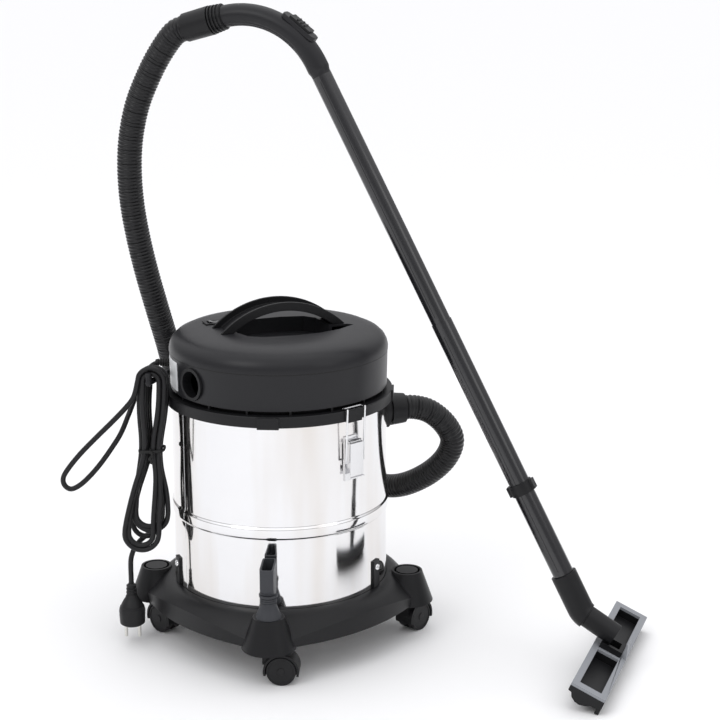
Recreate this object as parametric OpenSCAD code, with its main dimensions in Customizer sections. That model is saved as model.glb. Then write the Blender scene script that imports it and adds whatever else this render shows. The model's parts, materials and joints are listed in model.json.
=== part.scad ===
// Wet and dry shop vacuum: steel drum on a four-caster base, lift-off motor head,
// side inlet with hose, bent hand tube, two-part wand and floor nozzle.
// Millimetres, +Z up. The drum stands on the trolley base; the ground is z = 0.

/* [Drum] */
// Outer radius of the steel drum
drum_r = 150; // [125:1:180]
// Sheet thickness of the drum
drum_wall = 1; // [0.8:0.1:2]
// Height of the drum from its floor to its rolled rim
drum_h = 280; // [230:1:340]
// Height of the drum's floor above the ground
drum_z = 76; // [72:1:90]
// Height of the stiffening bead above the drum's floor
bead_up = 114; // [60:1:160]
// Width of the stiffening bead
bead_w = 19; // [10:1:30]
// How far the bead stands out
bead_out = 2.4; // [1:0.1:4]
// Radius of the rolled rim wire
roll_r = 2.2; // [1.5:0.1:3]

/* [Inlet] */
// Direction of the inlet round the drum, from the front towards the right
inlet_az = 108; // [95:1:125]
// Height of the inlet's axis below the drum's rim
inlet_down = 38; // [34:1:60]
// Bore radius of the inlet socket
inlet_bore = 17.5; // [15:0.1:20]
// Wall of the inlet socket
inlet_wall = 2.5; // [2:0.1:4]

/* [Base] */
// How far the pods' centres stand outside the drum
pod_out = 30; // [28:1:40]
// Radius of a pod at its top
pod_top_r = 21.5; // [20:0.5:24]
// Radius of a pod at its foot
pod_foot_r = 37; // [32:1:42]
// Height of a pod's top above the ground
pod_top_z = 94; // [90:1:100]
// Height of a pod's foot above the ground
pod_foot_z = 50; // [49:0.5:52]
// Distance from the drum to the base's edge, midway between two pods
edge_out = 26; // [22:1:32]
// Radius of the bulged sides of the base
edge_r = 300; // [260:5:360]

/* [Casters] */
// Radius of a caster wheel
wheel_r = 20; // [17:0.5:21]
// Width of one wheel of a twin pair
wheel_w = 11; // [8:0.5:12]
// How far the axle trails behind the stem
trail = 17; // [14:0.5:18]
// Radius of a caster's stem
stem_r = 5.5; // [4.5:0.1:6.5]
// Radius of a caster's axle
axle_r = 3; // [2:0.1:4]

/* [Head] */
// Height of the head's lower housing
housing_h = 50; // [46:1:60]
// Height of the dome above the seam
dome_h = 30.5; // [26:0.5:40]
// Wall of the head's mouldings
head_wall = 3; // [2.5:0.1:4]
// Gap between the rim flange and the lower housing
slot_h = 5.5; // [5:0.5:8]
// Radius of the motor casing
motor_r = 60; // [50:1:64]
// Height of the carry handle's top above the dome
handle_rise = 37; // [32:1:50]
// Width of the carry handle
handle_w = 44; // [36:1:50]
// Direction of the carry handle
handle_az = 25; // [20:1:30]

/* [Latches] */
// Distance between the two legs of a latch's wire bail
bail_w = 31; // [29:0.5:34]
// Radius of the bail wire
wire_r = 1.4; // [1.2:0.1:1.6]

/* [Wand and nozzle] */
// Outer radius of the upper wand tube
wand_r = 13.5; // [12:0.25:14.5]
// Wall of the wand tubes
wand_wall = 1.5; // [1:0.1:2]
// Length of the upper wand tube
upper_len = 365; // [300:5:400]
// Length of the lower wand tube
lower_len = 415; // [380:5:430]
// Bend radius of the hand tube
hand_bend = 118; // [105:1:140]
// Outer radius of the hand tube
hand_r = 15; // [14:0.25:17]
// Length of the nozzle head
nozzle_l = 290; // [250:5:320]
// Width of the nozzle head
nozzle_w = 49; // [44:0.5:56]
// Height of the nozzle head
nozzle_h = 24; // [22:0.5:30]

/* [Cord and hose] */
// Outer radius of the suction hose
hose_r = 17.5; // [15:0.25:18]
// Outer radius of the mains cord
cord_r = 3.6; // [3:0.1:4]

/* [Hidden] */
$fn = 64;

// Where the drum's axis stands in the part's own frame
axis_x = -154;
axis_y = 24;

drum_top = drum_z + drum_h;
inlet_z = drum_top - inlet_down;
socket_r = inlet_bore + inlet_wall;
bead_z = drum_z + bead_up;

pod_r = drum_r + pod_out;
pod_az = [0, 90, 180, 270];
ring_top_z = drum_z + 16;
groove_in = 15.4;
groove_out = 18.5;
groove_depth = 12;

running = 0.08;
gap = 0.3;
seat_gap = 0.12;
ear_r = 3.6;
spigot_in = 2;
blade_t = 2.4;
blade_h = 5.5;
blade_x = 11;

// Yaw of each caster, measured as the direction its axle trails
caster_yaw = [90, 143, 200, 49];

web_top = drum_top + 8;
web_z = web_top - 4;
band_z = drum_top - 7;
band_r = drum_r + 7.6;
housing_z = web_top + slot_h;
seam_z = housing_z + housing_h;
dome_z = seam_z + dome_h;
seam_r = drum_r + 1;
port_az = -45;
port_z = housing_z + 24;
port_bore = 17.6;
gland_az = -94;
well_r = motor_r + 4;
intake_z = web_top - 26;
tub_z = dome_z - 22;

latch_az = [45, 225];
bail_top_z = web_top + wire_r + gap;
lever_pivot_z = drum_top - 38;
lever_pivot_out = 6.5;
bail_pivot_z = drum_top - 64;
bail_pivot_out = 8;

// Plane of the wand: it stands upright and is turned about +Z
wand_yaw = -16.3;
wand_x = 462.7;
wand_y = -117.9;
wand_lean = 27.7;
nozzle_tip = 23.2;
nozzle_z = nozzle_w / 2 * sin(nozzle_tip) + nozzle_h * cos(nozzle_tip);
// Swivel joint of the nozzle's neck, in the wand's plane
swivel_s = -35.5;
swivel_z = 74;
neck_pitch = 30;
neck_r = 15.5;
elbow_r = 18;
elbow_bend = 26;
elbow_turn = 90 - wand_lean - neck_pitch;
elbow_reach = elbow_bend * tan(elbow_turn / 2);
corner_s = swivel_s - elbow_reach * cos(neck_pitch);
corner_z = swivel_z + elbow_reach * sin(neck_pitch);
lower_from = 28;
lower_to = lower_from + lower_len;
wand_top = lower_to + upper_len;
neck_len = 16;
arc_len = wand_top + neck_len;
arc_s = corner_s - arc_len * sin(wand_lean) - hand_bend * cos(wand_lean);
arc_z = corner_z + arc_len * cos(wand_lean) - hand_bend * sin(wand_lean);
hand_from = 106;
cuff_len = 54;

// Route of the suction hose, round the drum's axis: cuff, behind the drum, loop, inlet
hose_route = [[-126, 54, 851], [-143, 58, 843], [-164, 63, 816], [-183, 67, 782], [-200, 71, 742],
    [-211, 76, 696], [-215, 81, 650], [-214, 88, 602], [-208, 95, 552], [-199, 103, 501],
    [-188, 114, 448], [-177, 129, 394], [-169, 149, 345], [-153, 172, 296], [-110, 197, 248],
    [-48, 209, 212], [24, 206, 190], [84, 190, 176], [130, 154, 170], [166, 114, 182],
    [204, 94, 205], [232, 84, 234], [242, 78, 264], [231, 72, 290], [209, 67, 310], [186, 60, 318],
    [167, 54, 318]];

// Route of the mains cord from its gland, out in a loose loop, to the hank
lead_route = [[-168, 12, 392], [-178, 6, 389], [-187, -12, 380], [-194, -32, 360], [-204, -50, 332],
    [-214, -58, 308], [-228, -63, 288], [-246, -66, 267], [-266, -68, 248], [-279, -70, 240],
    [-283, -72, 248], [-271, -74, 268], [-248, -75, 296], [-224, -75, 322], [-202, -74, 346],
    [-190, -72, 356], [-178, -70, 358]];
tail_route = [[-201, -63, 172], [-204, -62, 156], [-206, -61, 138], [-207, -60, 120], [-207, -60, 104],
    [-206, -60, 89]];
hank_y0 = -78;
hank_d = 24;
plug_at = [-206, -60, 28];

// Places a piece that is drawn round the drum's axis
module place() translate([axis_x, axis_y, 0]) children();
// Turns a piece drawn with its outside towards -Y to a direction round the drum
module at_az(a) rotate([0, 0, a]) children();
// Places a piece drawn in the wand's plane: x along the plane, z up
module in_wand_plane() translate([wand_x, wand_y, 0]) rotate([0, 0, wand_yaw]) children();
// Places a piece drawn along the wand's axis, from the elbow's corner upwards
module along_wand() in_wand_plane() translate([corner_s, 0, corner_z]) rotate([0, -wand_lean, 0]) children();
// Places a piece drawn in the nozzle head's frame: x across, y along, z out of its top face
module in_head() in_wand_plane() translate([0, 0, nozzle_z]) rotate([0, nozzle_tip, 0]) children();
// Outward cylinder from the drum's axis
module spoke(r, from, to) rotate([90, 0, 0]) translate([0, 0, from]) cylinder(r = r, h = to - from);

function unit(v) = v / norm(v);
function spline(a, b, c, d, t) =
    0.5 * (2 * b + (c - a) * t + (2 * a - 5 * b + 4 * c - d) * t * t + (3 * b - a - 3 * c + d) * t * t * t);
function smooth(p, n) = concat(
    [for (i = [0:len(p) - 2]) for (k = [0:n - 1])
        spline(p[max(i - 1, 0)], p[i], p[i + 1], p[min(i + 2, len(p) - 1)], k / n)],
    [p[len(p) - 1]]);
function tangent(p, i) = unit(p[min(i + 1, len(p) - 1)] - p[max(i - 1, 0)]);
function across(p, u, i) = let (v = unit(u - (u * tangent(p, i)) * tangent(p, i)))
    i >= len(p) - 1 ? [v] : concat([v], across(p, v, i + 1));

// Round tube swept along a smoothed route
module swept(route, r, sides, steps, start) {
    p = smooth(route, steps);
    u = across(p, start, 0);
    n = len(p);
    pts = [for (i = [0:n - 1]) let (w = cross(tangent(p, i), u[i])) for (k = [0:sides - 1])
        p[i] + r * (u[i] * cos(360 * k / sides) + w * sin(360 * k / sides))];
    sides_f = [for (i = [0:n - 2]) for (k = [0:sides - 1]) let (m = (k + 1) % sides)
        [i * sides + m, i * sides + k, (i + 1) * sides + k, (i + 1) * sides + m]];
    caps = [[for (k = [0:sides - 1]) k], [for (k = [sides - 1:-1:0]) (n - 1) * sides + k]];
    polyhedron(points = pts, faces = concat(sides_f, caps), convexity = 10);
}

// Outer radius of the lower housing at a height
function housing_r(z) = drum_r + (z - housing_z) / housing_h;

module drum() place() color("silver") difference() {
    union() {
        rotate_extrude($fn = 96) polygon([[0, drum_z], [drum_r - 4, drum_z], [drum_r - 1.2, drum_z + 1.2],
            [drum_r, drum_z + 4], [drum_r, bead_z], [drum_r + bead_out, bead_z + 3],
            [drum_r + bead_out, bead_z + bead_w - 3], [drum_r, bead_z + bead_w], [drum_r, drum_top - roll_r],
            [drum_r - drum_wall, drum_top - roll_r], [drum_r - drum_wall, bead_z + bead_w],
            [drum_r + bead_out - drum_wall, bead_z + bead_w - 3],
            [drum_r + bead_out - drum_wall, bead_z + 3], [drum_r - drum_wall, bead_z],
            [drum_r - drum_wall, drum_z + 4], [drum_r - 4 - drum_wall, drum_z + drum_wall],
            [0, drum_z + drum_wall]]);
        translate([0, 0, drum_top - roll_r]) rotate_extrude($fn = 96)
            translate([drum_r, 0]) circle(r = roll_r, $fn = 24);
    }
    at_az(inlet_az) translate([0, 0, inlet_z]) spoke(socket_r + 0.2, drum_r - 20, drum_r + 20);
}

// Socket pushed through the drum's side from outside, with a flange that follows the drum
module inlet_socket() place() color("#2a2a2c") at_az(inlet_az) difference() {
    union() {
        difference() {
            translate([0, 0, inlet_z]) spoke(socket_r + 6, drum_r - 6, drum_r + 6);
            translate([0, 0, inlet_z - 50]) cylinder(r = drum_r + 1.5, h = 100, $fn = 96);
        }
        translate([0, 0, inlet_z]) spoke(socket_r, drum_r - 16, drum_r + 10);
    }
    translate([0, 0, inlet_z]) spoke(inlet_bore, drum_r - 30, drum_r + 20);
}

module inlet_gasket() place() color("#111111") at_az(inlet_az) difference() {
    intersection() {
        translate([0, 0, inlet_z]) spoke(socket_r + 5, drum_r - 6, drum_r + 6);
        translate([0, 0, inlet_z - 50]) cylinder(r = drum_r + 1.5, h = 100, $fn = 96);
    }
    translate([0, 0, inlet_z - 60]) cylinder(r = drum_r, h = 120, $fn = 96);
    translate([0, 0, inlet_z]) spoke(socket_r, drum_r - 30, drum_r + 20);
}

// Inside the drum: nut ring and a hood that turns the incoming air downwards
module inlet_deflector() place() color("#1f1f21") at_az(inlet_az) difference() {
    union() {
        intersection() {
            translate([0, 0, inlet_z]) spoke(socket_r + 5, drum_r - 16, drum_r);
            translate([0, 0, inlet_z - 50]) cylinder(r = drum_r - drum_wall, h = 100, $fn = 96);
        }
        translate([-socket_r - 2, -drum_r + 16, inlet_z - socket_r - 12])
            cube([2 * socket_r + 4, 12, 2 * socket_r + 12]);
    }
    translate([0, 0, inlet_z]) spoke(socket_r, drum_r - 16.01, drum_r + 20);
    translate([0, 0, inlet_z]) spoke(socket_r, drum_r - 25, drum_r - 15);
    translate([-socket_r, -drum_r + 10, inlet_z - socket_r - 20]) cube([2 * socket_r, 15, socket_r + 20]);
}

// Steel bracket that carries a latch lever on a pin
module latch_bracket(a) place() color("gainsboro") at_az(a) {
    difference() {
        union() {
            translate([-12, -drum_r - 2, lever_pivot_z - 54]) cube([24, 4, 62]);
            for (s = [-1, 1]) {
                translate([s * 8 - 0.75, -drum_r - lever_pivot_out, lever_pivot_z - ear_r])
                    cube([1.5, lever_pivot_out, 2 * ear_r]);
                translate([s * 8 - 0.75, -drum_r - lever_pivot_out, lever_pivot_z]) rotate([0, 90, 0])
                    cylinder(r = ear_r, h = 1.5);
            }
            translate([-12.5, -drum_r - lever_pivot_out, lever_pivot_z]) rotate([0, 90, 0])
                cylinder(r = 1.5, h = 25);
        }
        translate([0, 0, drum_z]) cylinder(r = drum_r + seat_gap, h = drum_h, $fn = 96);
    }
    for (z = [-48, -20]) translate([0, 0, lever_pivot_z + z]) spoke(2.6, drum_r, drum_r + 3.2);
}

// Pressed lever with two side flanges; it swings outwards and up
module latch_lever(a) place() color("gainsboro") at_az(a) difference() {
    union() {
        translate([-11.6, -drum_r - 12.4, lever_pivot_z - 47]) cube([23.2, 1.2, 47]);
        for (s = [-1, 1]) {
            translate([s * 10.9 - 0.7, -drum_r - 12.2, lever_pivot_z - 34]) cube([1.4, 6.4, 34]);
            translate([s * 10.9 - 0.7, -drum_r - lever_pivot_out, lever_pivot_z]) rotate([0, 90, 0])
                cylinder(r = 3.4, h = 1.4);
            translate([s * 10.9 - 0.7, -drum_r - 12.2, lever_pivot_z - 1]) cube([1.4, 6, 1.5]);
        }
        translate([-11.6, -drum_r - 14.5, lever_pivot_z - 48]) cube([23.2, 3.3, 1.4]);
    }
    translate([-30, -drum_r - lever_pivot_out, lever_pivot_z]) rotate([0, 90, 0])
        cylinder(r = 1.5 + running, h = 60);
    translate([-30, -drum_r - bail_pivot_out, bail_pivot_z]) rotate([0, 90, 0])
        cylinder(r = wire_r + running, h = 60);
}

// Bent wire that hooks over the rim flange and is pulled down by the lever
module latch_bail(a) place() color("silver") at_az(a) {
    run = bail_top_z - bail_pivot_z;
    out = 11 - bail_pivot_out;
    lean = atan(out / run);
    knee_r = wire_r + 0.15;
    for (s = [-1, 1]) {
        translate([s * bail_w / 2, -drum_r - bail_pivot_out, bail_pivot_z]) {
            rotate([lean, 0, 0]) cylinder(r = wire_r, h = norm([run, out]), $fn = 24);
            sphere(r = knee_r, $fn = 24);
            rotate([0, -90 * s, 0]) cylinder(r = wire_r, h = bail_w / 2 - 9.6, $fn = 24);
        }
        translate([s * bail_w / 2, -drum_r - 11, bail_top_z]) {
            sphere(r = knee_r, $fn = 24);
            rotate([-90, 0, 0]) cylinder(r = wire_r, h = 9, $fn = 24);
        }
        translate([s * bail_w / 2, -drum_r - 2, bail_top_z]) sphere(r = knee_r, $fn = 24);
    }
    translate([-bail_w / 2, -drum_r - 2, bail_top_z]) rotate([0, 90, 0]) cylinder(r = wire_r, h = bail_w, $fn = 24);
}

module base_outline(inset) intersection_for(k = [0:3])
    rotate(45 + 90 * k) translate([drum_r + edge_out - edge_r, 0]) circle(r = edge_r - inset, $fn = 128);

// Trolley ring with four flared pods, a ledge under the drum and four screw tabs
module base() place() color("#242426") difference() {
    union() {
        difference() {
            intersection() {
                rotate_extrude($fn = 96) polygon([[drum_r - 38, drum_z - 8], [drum_r + 8, drum_z - 8],
                    [drum_r + 9, pod_foot_z + 3], [drum_r + 62, pod_foot_z + 3], [drum_r + 52, pod_foot_z + 7],
                    [drum_r + 40, pod_foot_z + 14], [drum_r + 30, ring_top_z - 18],
                    [drum_r + 22, ring_top_z - 9], [drum_r + 15, ring_top_z - 3.5],
                    [drum_r + 8, ring_top_z - 0.5], [drum_r + 0.6, ring_top_z],
                    [drum_r + 0.6, drum_z], [drum_r - 38, drum_z]]);
                linear_extrude(200) base_outline(0);
            }
            intersection() {
                rotate_extrude($fn = 96) polygon([[drum_r + 12, pod_foot_z - 5], [drum_r + 12, ring_top_z - 8],
                    [drum_r + 20, ring_top_z - 13], [drum_r + 28, ring_top_z - 22],
                    [drum_r + 37, pod_foot_z + 10], [drum_r + 40, pod_foot_z - 5]]);
                linear_extrude(200) base_outline(3);
            }
        }
        for (a = pod_az) at_az(a) translate([0, -pod_r, pod_foot_z])
            cylinder(r1 = pod_foot_r, r2 = pod_top_r, h = pod_top_z - pod_foot_z);
        for (a = [66, -66, 114, -114]) at_az(a) intersection() {
            translate([-8, -drum_r - 4, ring_top_z - 4]) cube([16, 6, 43]);
            difference() {
                translate([0, 0, ring_top_z - 4]) cylinder(r = drum_r + 3, h = 60, $fn = 96);
                translate([0, 0, ring_top_z - 5]) cylinder(r = drum_r, h = 62, $fn = 96);
            }
        }
    }
    translate([0, 0, drum_z]) cylinder(r = drum_r, h = 200, $fn = 96);
    for (a = pod_az) at_az(a) translate([0, -pod_r, 0]) {
        difference() {
            translate([0, 0, pod_top_z - groove_depth]) cylinder(r = groove_out, h = 30);
            translate([0, 0, pod_top_z - groove_depth - 1]) cylinder(r = groove_in, h = groove_depth + 1);
        }
        cylinder(r = stem_r + running, h = pod_top_z - groove_depth - 4);
        difference() {
            translate([0, 0, pod_foot_z - 1]) cylinder(r1 = pod_foot_r - 5, r2 = pod_foot_r - 9, h = 11);
            cylinder(r = stem_r + 5, h = pod_foot_z + 20);
        }
    }
    for (a = [66, -66, 114, -114]) at_az(a) translate([0, 0, ring_top_z + 29]) spoke(2.2, drum_r - 5, drum_r + 10);
}

module base_screws() place() color("silver") for (a = [66, -66, 114, -114])
    at_az(a) translate([0, 0, ring_top_z + 29]) {
        spoke(2.2, drum_r, drum_r + 4);
        spoke(5, drum_r + 3, drum_r + 5.4);
    }

// Hood, stem and middle web of a twin-wheel caster; the axle trails towards -Y
module caster_hood(k) place() color("#1c1c1e") at_az(pod_az[k]) translate([0, -pod_r, 0])
    rotate([0, 0, caster_yaw[k] - pod_az[k]]) difference() {
        union() {
            translate([0, 0, wheel_r + 20]) cylinder(r = stem_r, h = pod_top_z - groove_depth - wheel_r - 26);
            translate([0, 0, pod_foot_z - 6]) cylinder(r = stem_r + 4, h = 5.4);
            intersection() {
                difference() {
                    translate([-wheel_w - 3.6, -trail, wheel_r]) rotate([0, 90, 0])
                        cylinder(r = wheel_r + 4.4, h = 2 * wheel_w + 7.2);
                    translate([-wheel_w - 20, -trail, wheel_r]) rotate([0, 90, 0])
                        cylinder(r = wheel_r + 1.4, h = 2 * wheel_w + 40);
                }
                translate([-50, -trail - 40, wheel_r - 6]) cube([100, 90, 100]);
            }
            intersection() {
                translate([-2.2, -trail, wheel_r]) rotate([0, 90, 0]) cylinder(r = wheel_r + 2, h = 4.4);
                translate([-50, -trail - 40, wheel_r - 9]) cube([100, 90, 100]);
            }
            difference() {
                translate([-stem_r - 3, -stem_r - 3, wheel_r + 8]) cube([2 * stem_r + 6, 2 * stem_r + 6, 22]);
                translate([-50, -trail, wheel_r]) rotate([0, 90, 0]) cylinder(r = wheel_r + 1.4, h = 100);
            }
        }
        translate([-50, -trail, wheel_r]) rotate([0, 90, 0]) cylinder(r = axle_r + running, h = 100);
    }

module wheel_pair(k) place() color("#151516") at_az(pod_az[k]) translate([0, -pod_r, 0])
    rotate([0, 0, caster_yaw[k] - pod_az[k]]) translate([0, -trail, wheel_r]) rotate([0, 90, 0]) {
        for (s = [-1, 1]) translate([0, 0, s * (2.8 + wheel_w / 2) - wheel_w / 2]) difference() {
            cylinder(r = wheel_r, h = wheel_w);
            translate([0, 0, s > 0 ? wheel_w - 1 : -1]) difference() {
                cylinder(r = wheel_r - 2.5, h = 2);
                translate([0, 0, -1]) cylinder(r = axle_r + 2, h = 4);
            }
        }
        translate([0, 0, -wheel_w - 2.8]) cylinder(r = axle_r, h = 2 * wheel_w + 5.6);
    }

// Flange ring that sits over the drum's rim, with catches, pads and posts
module rim_flange() place() color("#262628") {
    rotate_extrude($fn = 96) polygon([[drum_r + 4, band_z], [band_r, band_z], [band_r, web_top - 1],
        [band_r - 1, web_top], [drum_r - 11, web_top], [drum_r - 11, housing_z], [drum_r - 14, housing_z],
        [drum_r - 14, web_z], [drum_r - 10, web_z], [drum_r - 10, drum_top - 8], [drum_r - 7, drum_top - 8],
        [drum_r - 7, web_z], [drum_r + 4, web_z]]);
    for (a = [0, 90, 180, 270]) at_az(a) difference() {
        translate([-14.5, -band_r - 2, band_z - 1.5]) cube([29, 6, web_top - band_z + 1]);
        translate([0, 0, band_z - 5]) cylinder(r = drum_r + 4, h = 40, $fn = 96);
    }
    for (a = latch_az) at_az(a) difference() {
        translate([-12.5, -drum_r - 9, band_z - 2]) cube([25, 6, web_top - band_z + 2]);
        translate([0, 0, band_z - 5]) cylinder(r = drum_r + 4, h = 40, $fn = 96);
    }
    for (k = [0:15]) at_az(k * 22.5 + 11.25) translate([-1.5, -drum_r + 2, web_top - 0.01])
        cube([3, 8.5, slot_h + 0.01]);
}

module head_seal() place() color("#101010") rotate_extrude($fn = 96)
    polygon([[drum_r - 6, drum_top + gap], [drum_r + 3, drum_top + gap], [drum_r + 3, web_z], [drum_r - 6, web_z]]);

// Lower housing: outer wall, floor, motor well with its intake, blower port
module lower_housing() place() color("#2b2b2e") difference() {
    union() {
        rotate_extrude($fn = 96) polygon([[drum_r, housing_z], [seam_r, seam_z], [seam_r - head_wall, seam_z],
            [drum_r - head_wall, housing_z + head_wall], [well_r + head_wall, housing_z + head_wall],
            [well_r + head_wall, housing_z + 6], [well_r, housing_z + 6], [well_r, intake_z + head_wall],
            [22, intake_z + head_wall], [22, intake_z], [well_r + head_wall, intake_z],
            [well_r + head_wall, housing_z], [drum_r - 14, housing_z]]);
    }
    at_az(port_az) translate([0, 0, port_z]) spoke(port_bore + 2.5, drum_r - 20, drum_r + 20);
    at_az(gland_az) translate([0, 0, housing_z + 22.5]) spoke(5, drum_r - 20, drum_r + 20);
}

// Collar of the blower port, a round bore that takes the hose's end
module blower_collar() place() color("#1d1d1f") at_az(port_az) difference() {
    union() {
        translate([0, 0, port_z]) spoke(port_bore + 2.4, drum_r - 12, drum_r + 3.5);
        difference() {
            translate([0, 0, port_z]) spoke(port_bore + 4.6, drum_r - 6, drum_r + 3.5);
            translate([0, 0, housing_z]) cylinder(r1 = drum_r, r2 = seam_r, h = housing_h, $fn = 96);
        }
    }
    translate([0, 0, port_z]) spoke(port_bore, drum_r - 30, drum_r + 20);
}

well_pts = [[-64, 24], [-66, -20], [-58, -44], [-40, -56], [0, -62], [40, -60], [72, -50], [99, -32],
    [92, -26], [66, -24], [64, 24], [52, 40], [20, 48], [-20, 48], [-52, 40]];

function scaled(p, k) = [for (q = p) q * k];

// Dome with the recessed finger well under the handle
module top_cover() place() color("#2d2d30") difference() {
    union() {
        rotate_extrude($fn = 96) polygon([[seam_r + 0.5, seam_z], [seam_r + 0.5, seam_z + 4.5],
            [seam_r - 0.8, seam_z + 10.5], [seam_r - 4, seam_z + 16.5], [seam_r - 10, dome_z - 8.5],
            [seam_r - 19, dome_z - 4.5], [seam_r - 31, dome_z - 1.7], [seam_r - 47, dome_z - 0.3],
            [seam_r - 55, dome_z], [0, dome_z], [0, dome_z - head_wall], [seam_r - 55, dome_z - head_wall],
            [seam_r - 47, dome_z - head_wall - 0.3], [seam_r - 31.7, dome_z - head_wall - 1.8],
            [seam_r - 20.4, dome_z - head_wall - 4.7], [seam_r - 12.3, dome_z - head_wall - 8.7],
            [seam_r - 7, seam_z + 14], [seam_r - 6.2, seam_z + 6], [seam_r - 6, seam_z - 5],
            [seam_r - 3.4, seam_z - 5], [seam_r - 3.4, seam_z]]);
        rotate([0, 0, handle_az]) translate([0, 0, tub_z - head_wall])
            linear_extrude(22 + head_wall - 2.6) polygon(scaled(well_pts, 1.06));
    }
    rotate([0, 0, handle_az]) translate([0, 0, tub_z]) linear_extrude(60) polygon(well_pts);
    switch_frame() translate([-13.1, -9.1, -20]) cube([26.2, 18.2, 30]);
}

// U-channel arch over the well
module carry_handle() place() color("#222224") rotate([0, 0, handle_az]) {
    half = 90;
    arch_r = (half * half + handle_rise * handle_rise) / (2 * handle_rise);
    difference() {
        translate([0, handle_w / 2, dome_z + handle_rise - arch_r]) rotate([90, 0, 0]) difference() {
            cylinder(r = arch_r, h = handle_w, $fn = 128);
            translate([0, 0, -1]) cylinder(r = arch_r - 12, h = handle_w + 2, $fn = 128);
            translate([0, 0, 4]) difference() {
                cylinder(r = arch_r + 5, h = handle_w - 8, $fn = 128);
                translate([0, 0, -1]) cylinder(r = arch_r - 8.5, h = handle_w + 2, $fn = 128);
            }
        }
        translate([-200, -200, dome_z - 400]) cube([400, 400, 400]);
    }
}

// Frame of the rocker switch on the dome's left side
module switch_frame() translate([-91, 11, dome_z]) rotate([0, 0, handle_az]) children();

module switch_bezel() place() color("#0f0f10") switch_frame() difference() {
    union() {
        translate([-13, -9, -14]) cube([26, 18, 14.01]);
        translate([-14.5, -10.5, 0]) cube([29, 21, 1.6]);
    }
    translate([-9.5, -6.2, -12]) cube([19, 12.4, 20]);
}

module switch_rocker() place() color("#1a1a1c") switch_frame() rotate([0, 7, 0]) difference() {
    translate([-8.5, -5.7, -6]) cube([17, 11.4, 8.6]);
    translate([0, 10, 22.5]) rotate([90, 0, 0]) cylinder(r = 21, h = 20);
}

module motor_casing() place() color("#8a8d92") difference() {
    translate([0, 0, intake_z + 3]) cylinder(r = motor_r, h = 79);
    translate([0, 0, intake_z + 6]) cylinder(r = motor_r - 2, h = 17);
    translate([0, 0, intake_z + 29]) cylinder(r = motor_r - 2, h = 46);
    translate([0, 0, intake_z]) cylinder(r = 9, h = 100);
    translate([0, 0, intake_z]) cylinder(r = 18, h = 10);
    for (k = [0:7]) rotate([0, 0, k * 45]) translate([34, -5, intake_z + 70]) cube([14, 10, 20]);
    for (k = [0:7]) rotate([0, 0, k * 45 + 20]) translate([34, -5, intake_z + 10]) cube([14, 10, 30]);
}

module motor_rotor() place() color("#b08040") {
    translate([0, 0, intake_z + 6.5]) cylinder(r = 4, h = 77);
    translate([0, 0, intake_z + 8]) cylinder(r = motor_r - 8, h = 12);
    translate([0, 0, intake_z + 34]) cylinder(r = 27, h = 32);
}

module motor_bearings() place() color("#c8c8cc") for (z = [intake_z + 23, intake_z + 76]) translate([0, 0, z])
    difference() {
        cylinder(r = 9, h = 5.5);
        translate([0, 0, -1]) cylinder(r = 4 + running, h = 8);
    }

// Slotted cage that guides the float under the motor's intake
module float_cage() place() color("#3a3a3d") difference() {
    union() {
        rotate_extrude() polygon([[15, intake_z], [66, intake_z], [66, intake_z - 3], [53, intake_z - 3],
            [53, intake_z - 100], [0, intake_z - 100], [0, intake_z - 97], [50, intake_z - 97],
            [50, intake_z - 3], [15, intake_z - 3]]);
        for (k = [0:3]) rotate([0, 0, k * 90 + 45]) translate([20.5, -1.5, intake_z - 98]) cube([30, 3, 96]);
    }
    for (k = [0:7]) rotate([0, 0, k * 45]) translate([40, -9, intake_z - 90]) cube([30, 18, 78]);
}

module float_ball() place() color("white") translate([0, 0, intake_z - 97 + 20 + gap]) difference() {
    sphere(r = 19.8);
    sphere(r = 18);
}

// Cloth filter sleeve stretched over the cage, closed underneath
module filter_sleeve() place() color("#e8e6df") difference() {
    translate([0, 0, intake_z - 104]) cylinder(r = 60, h = 100.6);
    translate([0, 0, intake_z - 100.4]) cylinder(r = 53.4, h = 110);
}

module rating_plate() place() color("white") rotate([0, 0, -90 - 77]) rotate_extrude(angle = 17, $fn = 96)
    polygon([[housing_r(housing_z + 5), housing_z + 5], [housing_r(housing_z + 5) + 0.6, housing_z + 5],
        [housing_r(seam_z - 5) + 0.6, seam_z - 5], [housing_r(seam_z - 5), seam_z - 5]]);

// Flexible gland where the mains cord leaves the head
module cord_gland() place() color("#161616") at_az(gland_az) translate([0, 0, housing_z + 22.5]) difference() {
    union() {
        spoke(5, drum_r - 8, drum_r + 4);
        difference() {
            spoke(8, drum_r - 4, drum_r + 3);
            translate([0, 0, -22.5]) cylinder(r1 = drum_r, r2 = seam_r, h = housing_h, $fn = 96);
        }
        rotate([90, 0, 0]) translate([0, 0, drum_r + 2]) cylinder(r1 = 6.6, r2 = 4.8, h = 16.4);
    }
    spoke(cord_r, drum_r - 30, drum_r + 40);
}

// Peg on which the hank of cord hangs
module cord_hook() place() color("#2b2b2e") {
    difference() {
        union() {
            translate([-148.5, -16, housing_z + 18.5]) rotate([90, 0, -16.4]) cylinder(r = 4, h = 71);
            translate([-168.5, -84.1, housing_z + 18.5]) {
                sphere(r = 4.6);
                cylinder(r = 4, h = 14);
            }
        }
        translate([0, 0, housing_z]) cylinder(r1 = drum_r, r2 = seam_r, h = housing_h, $fn = 96);
    }
}

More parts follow.
